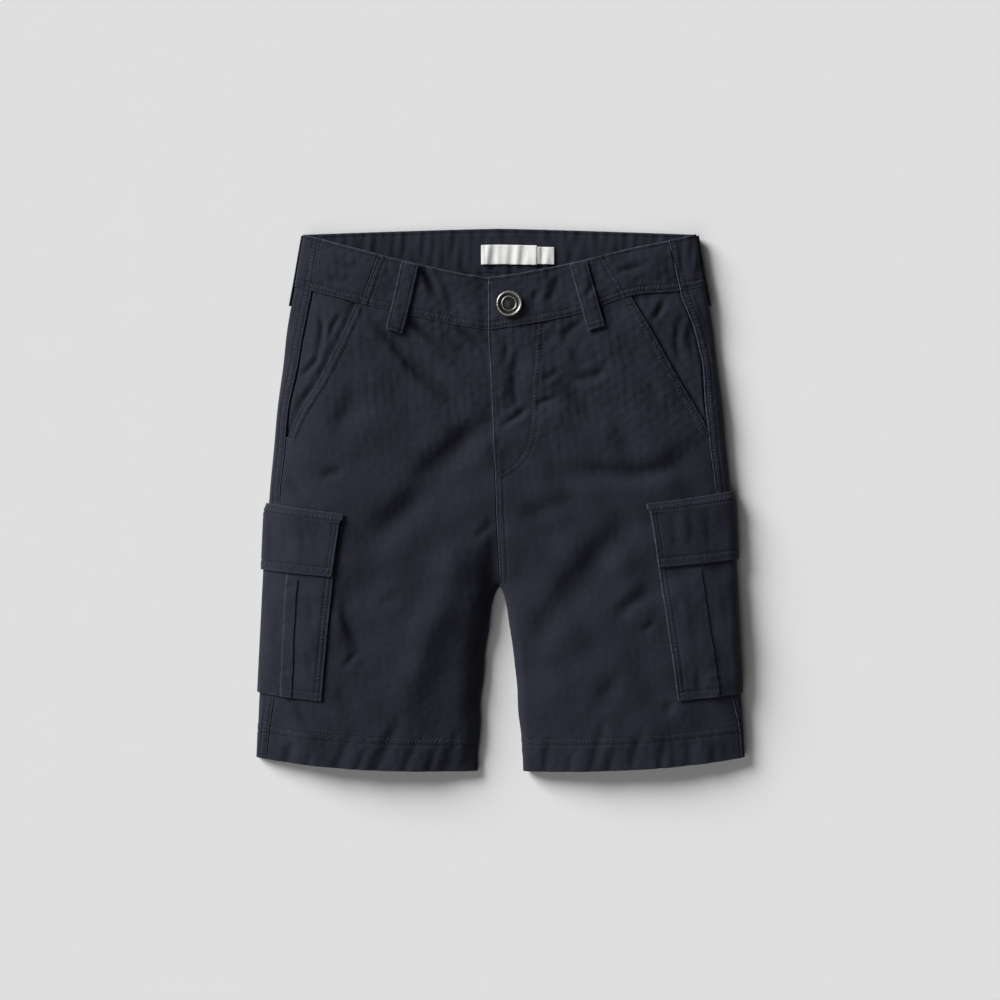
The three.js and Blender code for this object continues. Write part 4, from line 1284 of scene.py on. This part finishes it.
def cargo_pocket(side):
    sign = SIDES[side]
    size = CARGO[side]
    bottom, flap_bottom, flap_top = size["bottom"], size["flap_bottom"], size["flap_top"]
    front = between(size["front"], flap_bottom, bottom)
    rear = between(size["rear"], flap_top, bottom)
    pleat = between(size["pleat"], flap_bottom, bottom)
    levels = upward([bottom, bottom + 6, bottom + 7.2, flap_top - POCKET_TOP_DROP], [0.9, 0.6, 1.0])
    start, end, fold = rear(levels), front(levels), pleat(levels)
    stops = [start, fold - 0.7, fold + 0.1, fold + 0.9, fold + PLEAT_WIDTH - 0.9]
    stops += [fold + PLEAT_WIDTH - 0.1, fold + PLEAT_WIDTH + 0.7, end - 5.8, end - 5.0, end]
    girths = across(stops, [1.0, 0.27, 0.27, 0.9, 0.27, 0.27, 1.0, 0.4, 0.9])

    def bulge(level, girth):
        beside = np.minimum(girth - rear(level), front(level) - girth)
        above = np.minimum(level - bottom, flap_bottom - 4 - level)
        return POCKET_FULLNESS * smooth(beside / 16) * smooth(above / 16)

    def outer(level, girth):
        past = girth - pleat(level)
        risen = smooth((past + 0.2) / 0.5) * (1 - smooth((past - PLEAT_WIDTH) / size["pleat_fade"] + 0.5))
        wrinkles = 0.22 * np.sin(level / 3.1 + 2.0 * np.sin(level / 11)) * smooth(past / 2)
        wrinkles = wrinkles * smooth((PLEAT_WIDTH - past) / 2)
        pleated = (PLEAT_HEIGHT + wrinkles) * risen * smooth((flap_bottom - 2 - level) / 4)
        return LAYER_GAP + CLOTH + bulge(level, girth) + pleated

    rows = [
        row(up_line(front, bottom + 1, flap_bottom - 1, -2.0), -3.4),
        row(up_line(front, bottom + 6.6, flap_bottom - 1, -5.4)),
        row(level_line(bottom + 6.6, pleat(bottom) - 1.5, front(bottom) - 2.4)),
    ]
    if sign < 0:
        rear_row = [(flap_bottom - 2, 4.6), (76, 4.6), (70, 6.0), (67, 11), (66, pleat(66) - 1)]
        rows.append(row(rear_row))
    else:
        rows.append(row(level_line(bottom + 13.5, pleat(bottom) - 6, pleat(bottom) + PLEAT_WIDTH + 8)))
    wear_and_shade_rows = [(up_line(pleat, bottom, flap_bottom, 0, 6), 0.6)]
    piece = cloth_piece(
        f"cargo_pocket_{side}", sign, levels, girths, moved(bulge, LAYER_GAP), outer, rows=rows,
        wear_and_painted_shade={"end": 0.9, "bottom": 0.5, "start": 0.4}, wear_and_shade_rows=wear_and_shade_rows, group=f"pocket_{side}",
    )
    bartack(f"pocket_{side}", sign, bottom + 2.4, pleat(bottom) - 3, outer, 1.6, 3.6, 5)
    return piece


def cargo_flap(side):
    """A flap is sewn to the leg along its top and lies on the top of its pocket."""
    sign = SIDES[side]
    size = CARGO[side]
    bottom, top = size["flap_bottom"], size["flap_top"]
    rear = between(size["rear"], top, size["bottom"])
    straight = between(size["flap_front"], top, bottom)
    front = lambda level: straight(level) + 1.8 * smooth((level - top + 7) / 2.5)
    stops = [bottom, bottom + 6.8, bottom + 7.8, top - 7.2, top - 6, top]
    levels = upward(stops, [0.9, 0.5, 1.0, 0.6, 0.8])
    start, end = rear(levels), front(levels)
    girths = across([start, end - 5.2, end], [1.0, 0.6])

    def inner(level, girth):
        on_pocket = (CLOTH + LAYER_GAP) * smooth((top - level) / POCKET_TOP_DROP)
        return LAYER_GAP + on_pocket + 0 * girth

    def outer(level, girth):
        tucked = 0.3 * smooth((level - top + 6.2) / 1.2)
        return CLOTH + inner(level, girth) + tucked

    rows = [
        row(level_line(top - 6.4, rear(top) + 1, straight(top) - 0.5), -3.5),
        row(level_line(bottom + 7.3, rear(bottom) + 1, straight(bottom) - 2.2), 4.5, 0.4),
        row(up_line(straight, bottom + 1.2, top - 7.5, -2.0)),
        row(up_line(straight, bottom + 7.3, top - 7.5, -4.6)),
    ]
    piece = cloth_piece(
        f"cargo_flap_{side}", sign, levels, girths, inner, outer, rows=rows,
        wear_and_painted_shade={"end": 1.0, "bottom": 0.55, "top": 0.5, "start": 0.3}, group=f"pocket_{side}",
    )
    bartack(f"pocket_{side}", sign, top - 8.2, straight(top - 8) - 4.2, outer, 7.5, 1.5, 12)
    return piece


# Belt loops

LOOP_WIDTH = 13.5
LOOP_BOTTOM = 346
LOOP_THICKNESS = 1.4
# crown is how far a loop's middle and its folded end stand out, arched how far the loop does,
# rubbed how pale its edges are, and pressed how much flatter it lies.
FRONT_LOOP = {"crown": 0.35, "arched": 0.6, "rubbed": 0.75, "pressed": 0}
SIDE_LOOP = {"crown": 0, "arched": 0.1, "rubbed": 0.25, "pressed": 0.3}
BACK_LOOP = {**FRONT_LOOP, "crown": 0}
# Girths of the middle at the loop's top and bottom
FRONT_LOOPS = {"right": (87.8, 85.3), "left": (96.4, 92.2)}
SIDE_LOOP_GIRTH = -6.2


def belt_loop(name, sign, top, bottom, kind):
    """A loop over a piece of the waistband."""
    crown, arched, rubbed, pressed = kind.values()
    middle = between((top, bottom), SIDE_LENGTH, LOOP_BOTTOM)
    levels = upward([LOOP_BOTTOM, SIDE_LENGTH - 1], [0.8])
    half = LOOP_WIDTH / 2
    girths = across([middle(levels) - half, middle(levels) + half], [0.8])

    def arch(level, girth):
        share = (level - LOOP_BOTTOM) / (SIDE_LENGTH - LOOP_BOTTOM)
        lifted = arched * smooth(np.minimum(share, 1 - share) / 0.2)
        return BAND_EXTRA + LAYER_GAP - pressed + lifted + 0 * girth

    def outer(level, girth):
        folded = crown * smooth((LOOP_BOTTOM + 5.5 - level) / 0.8)
        domed = crown * (1 - ((girth - middle(level)) / half) ** 2)
        return arch(level, girth) + LOOP_THICKNESS - pressed + folded + domed

    rows = [row(up_line(middle, LOOP_BOTTOM + 1, SIDE_LENGTH - 2, turn * (half - 2))) for turn in (1, -1)]
    piece = cloth_piece(
        name, sign, levels, girths, arch, outer, rows=rows, group="loops",
        wear_and_painted_shade={"start": rubbed, "end": rubbed, "bottom": 0.8 * rubbed, "top": rubbed},
    )
    bartack("loops", sign, LOOP_BOTTOM + 3.2, middle(LOOP_BOTTOM), outer, 9.0, 1.5, 14)
    return piece


def belt_loops():
    for side, sign in SIDES.items():
        top, bottom = FRONT_LOOPS[side]
        belt_loop(f"belt_loop_front_{side}", sign, top, bottom, FRONT_LOOP)
    for side, sign in SIDES.items():
        at = SIDE_LOOP_GIRTH
        belt_loop(f"belt_loop_side_{side}", sign, at, at, SIDE_LOOP)
    top, bottom = -back_half(1, np.array([SIDE_LENGTH, LOOP_BOTTOM], float))
    belt_loop("belt_loop_back", 1, top, bottom, BACK_LOOP)


# Labels inside the back of the waistband, left bare

LABELS = {
    "waist_label": {"from_x": -14.7, "to_x": 28.3, "top": 12.5, "bottom": 27.7},
    "size_tag": {"from_x": 28.6, "to_x": 41.6, "top": 13.5, "bottom": 27},
}
LABEL_THICKNESS = 1.0


def inside_label(name):
    size = LABELS[name]
    levels = upward([SIDE_LENGTH - size["bottom"], SIDE_LENGTH - size["top"]], [0.6])
    half = back_half(1, levels)
    middle = line_of(levels, -half)
    girths = across([size["from_x"] - half, size["to_x"] - half], [0.6])

    def outer(level, girth):
        """The face on the band, with the ribbon's waves, mostly along its free lower edge."""
        x = girth - middle(level) - size["from_x"]
        slack = 0.25 + 0.75 * smooth((SIDE_LENGTH - size["top"] - level) / 12)
        waved = 0.2 * slack * (1 + np.sin(x / 5.6 + 0.8 + 0.6 * np.sin(x / 9)))
        return -CLOTH - LAYER_GAP - waved

    def inner(level, girth):
        """The face that shows, with a step near each end where the ribbon is turned in."""
        x = girth - middle(level)
        from_end = np.minimum(x - size["from_x"], size["to_x"] - x)
        return outer(level, girth) - LABEL_THICKNESS - 0.22 * smooth((2.7 - from_end) / 0.5)

    # Painted shade: grey lines along the two turned-in steps, and greyed edges along the ribbon's ends
    # and lower edge.
    steps = [
        (up_line(middle, levels[0], levels[-1], x, 3), 0.55)
        for x in (size["from_x"] + 2.6, size["to_x"] - 2.4)
    ]
    return cloth_piece(
        name, 1, levels, girths, inner, outer, material=RIBBON, wear_and_shade_rows=steps,
        wear_and_painted_shade={"start": 0.3, "end": 0.3, "bottom": 0.2}, stride=1,
        piece=f"{name}_ribbon",
    )


# Shank button

BUTTON = {
    "x": 6.9, "y": 149.4, "radius": 9.8, "stem_radius": 3.5, "stem_height": 1.2, "cap_height": 2.6,
    "lip": 0.95, "ring_radius": 5.45, "ring_width": 0.5, "ring_height": 0.45, "dish_depth": 0.75,
    "spokes": 72,
}


def button_profile():
    """Radius, height and wear of the button's section, from the bottom of its stem to its middle."""
    radius, foot, stem, lip = (BUTTON[name] for name in ("radius", "stem_radius", "stem_height", "lip"))
    rim = stem + BUTTON["cap_height"]
    dish = rim - BUTTON["dish_depth"]
    profile = [(0, 0, 0), (foot, 0, 0), (foot, stem, 0), (radius - 1.2, stem, 0)]
    for k in range(9):
        angle = math.pi * (k / 8 - 0.35)
        out, up = radius - lip + lip * math.cos(angle), rim - lip + lip * math.sin(angle)
        profile.append((out, up, min(1, k / 4)))
    profile += [(radius - 1.75, rim - 0.35, 0.5), (radius - 2.0, dish, 0.05)]
    profile += [(6.3, dish, 0.0), (6.0, dish + 0.05, 0.1)]
    for k in range(7):
        angle = math.pi * k / 6
        out = BUTTON["ring_radius"] + BUTTON["ring_width"] * math.cos(angle)
        profile.append((out, dish + 0.1 + BUTTON["ring_height"] * math.sin(angle), 0.75))
    profile += [(4.8, dish, 0.1), (4.4, dish - 0.05, 0.0), (2.6, dish + 0.2, 0.05)]
    profile += [(1.0, dish + 0.32, 0.12), (0, dish + 0.34, 0.15)]
    return np.array(profile)


def shank_button():
    profile = button_profile()
    spokes = BUTTON["spokes"]
    angle = 2 * np.pi * np.arange(spokes) / spokes
    body = profile[1:-1]
    rings = np.stack(
        [
            np.outer(body[:, 0], np.cos(angle)),
            np.outer(body[:, 0], np.sin(angle)),
            np.repeat(body[:, 1:2], spokes, axis=1),
        ],
        axis=-1,
    ).reshape(-1, 3)
    tip = len(rings)
    local = np.concatenate([rings, [(0, 0, profile[0, 1]), (0, 0, profile[-1, 1])]])
    faces = ring_quads(len(body), spokes)
    last = (len(body) - 1) * spokes
    faces += [(tip, (k + 1) % spokes, k) for k in range(spokes)]
    faces += [(tip + 1, last + k, last + (k + 1) % spokes) for k in range(spokes)]
    level, girth = locate(1, [BUTTON["x"]], [BUTTON["y"]])
    raised = BAND_LAP_SHIFT + BAND_EXTRA + SEAM_GAP
    seat, normal = place(1, level, girth[:, None], np.array([[raised]]))
    turn = np.array(Vector((0, 0, 1)).rotation_difference(Vector(normal[0, 0])).to_matrix())
    wear_and_painted_shade = np.concatenate([np.repeat(body[:, 2], spokes), [0, profile[-1, 2]]])
    made = add_mesh("button_metal", seat[0, 0] + local @ turn.T, faces, METAL, local, wear_and_painted_shade)
    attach(made, "root")
    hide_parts("button")
    return made


# Floor, light and camera

VIEW_HEIGHT = 2000
VIEW_WIDTH = 770  # what the photograph's width takes in
FLOOR_REACH = 6000
SUNS = {
    "key": {"towards": (-0.75, 0.58, 0.46), "strength": 5.03, "angle": 32},
    "low": {"towards": (-0.45, -0.45, 0.65), "strength": 0.75, "angle": 60},
}
SKY_STRENGTH = 0.05


def floor_material():
    base = (0.8, 0.8, 0.8)
    material, shader = new_material("pale_floor", base, 0.9, specular=0.1)
    graph = Graph(material)
    coordinates = graph.tree.nodes.new("ShaderNodeTexCoord").outputs["Object"]
    tone = graph.ranged(graph.noise(graph.scaled(coordinates, (30, 30, 30)), 2), 0, 1, 0.995, 1.005)
    graph.put(shader.inputs["Base Color"], graph.shaded(base, tone))
    return material


def add_floor():
    corners = FLOOR_REACH * np.array([(-1, -1, 0), (1, -1, 0), (1, 1, 0), (-1, 1, 0)], float)
    floor = add_mesh("floor", corners, [(0, 1, 2, 3)], floor_material())


def add_sun(name, towards, strength, angle):
    """A soft lamp that shines from the direction towards, spread over an angle in degrees."""
    light = bpy.data.lights.new(name, "SUN")
    light.energy = strength
    light.angle = math.radians(angle)
    lamp = bpy.data.objects.new(name, light)
    lamp.rotation_euler = Vector(towards).to_track_quat("Z", "Y").to_euler()
    bpy.context.scene.collection.objects.link(lamp)


def add_light():
    for name, sun in SUNS.items():
        add_sun(name, **sun)
    world = bpy.data.worlds.new("studio")
    world.use_nodes = True
    background = world.node_tree.nodes["Background"]
    background.inputs["Color"].default_value = (1, 1, 1, 1)
    background.inputs["Strength"].default_value = SKY_STRENGTH
    bpy.context.scene.world = world


def add_camera():
    data = bpy.data.cameras.new("camera")
    data.sensor_width = 36
    data.lens = data.sensor_width * VIEW_HEIGHT / VIEW_WIDTH
    data.clip_start, data.clip_end = 0.1, 20
    camera = bpy.data.objects.new("camera", data)
    camera.location = (0, 0, VIEW_HEIGHT * MM)
    bpy.context.scene.collection.objects.link(camera)
    bpy.context.scene.camera = camera


add_camera()
for side in SIDES:
    back_panel(side)
    front_panel(side)
    pocket_facing(side)
    band_front(side)
    band_side(side)
    cargo_pocket(side)
    cargo_flap(side)
band_back()
belt_loops()
for name in LABELS:
    inside_label(name)
shank_button()
add_threads(THREAD)
add_floor()
add_light()
bpy.context.scene.view_settings.view_transform = "Standard"
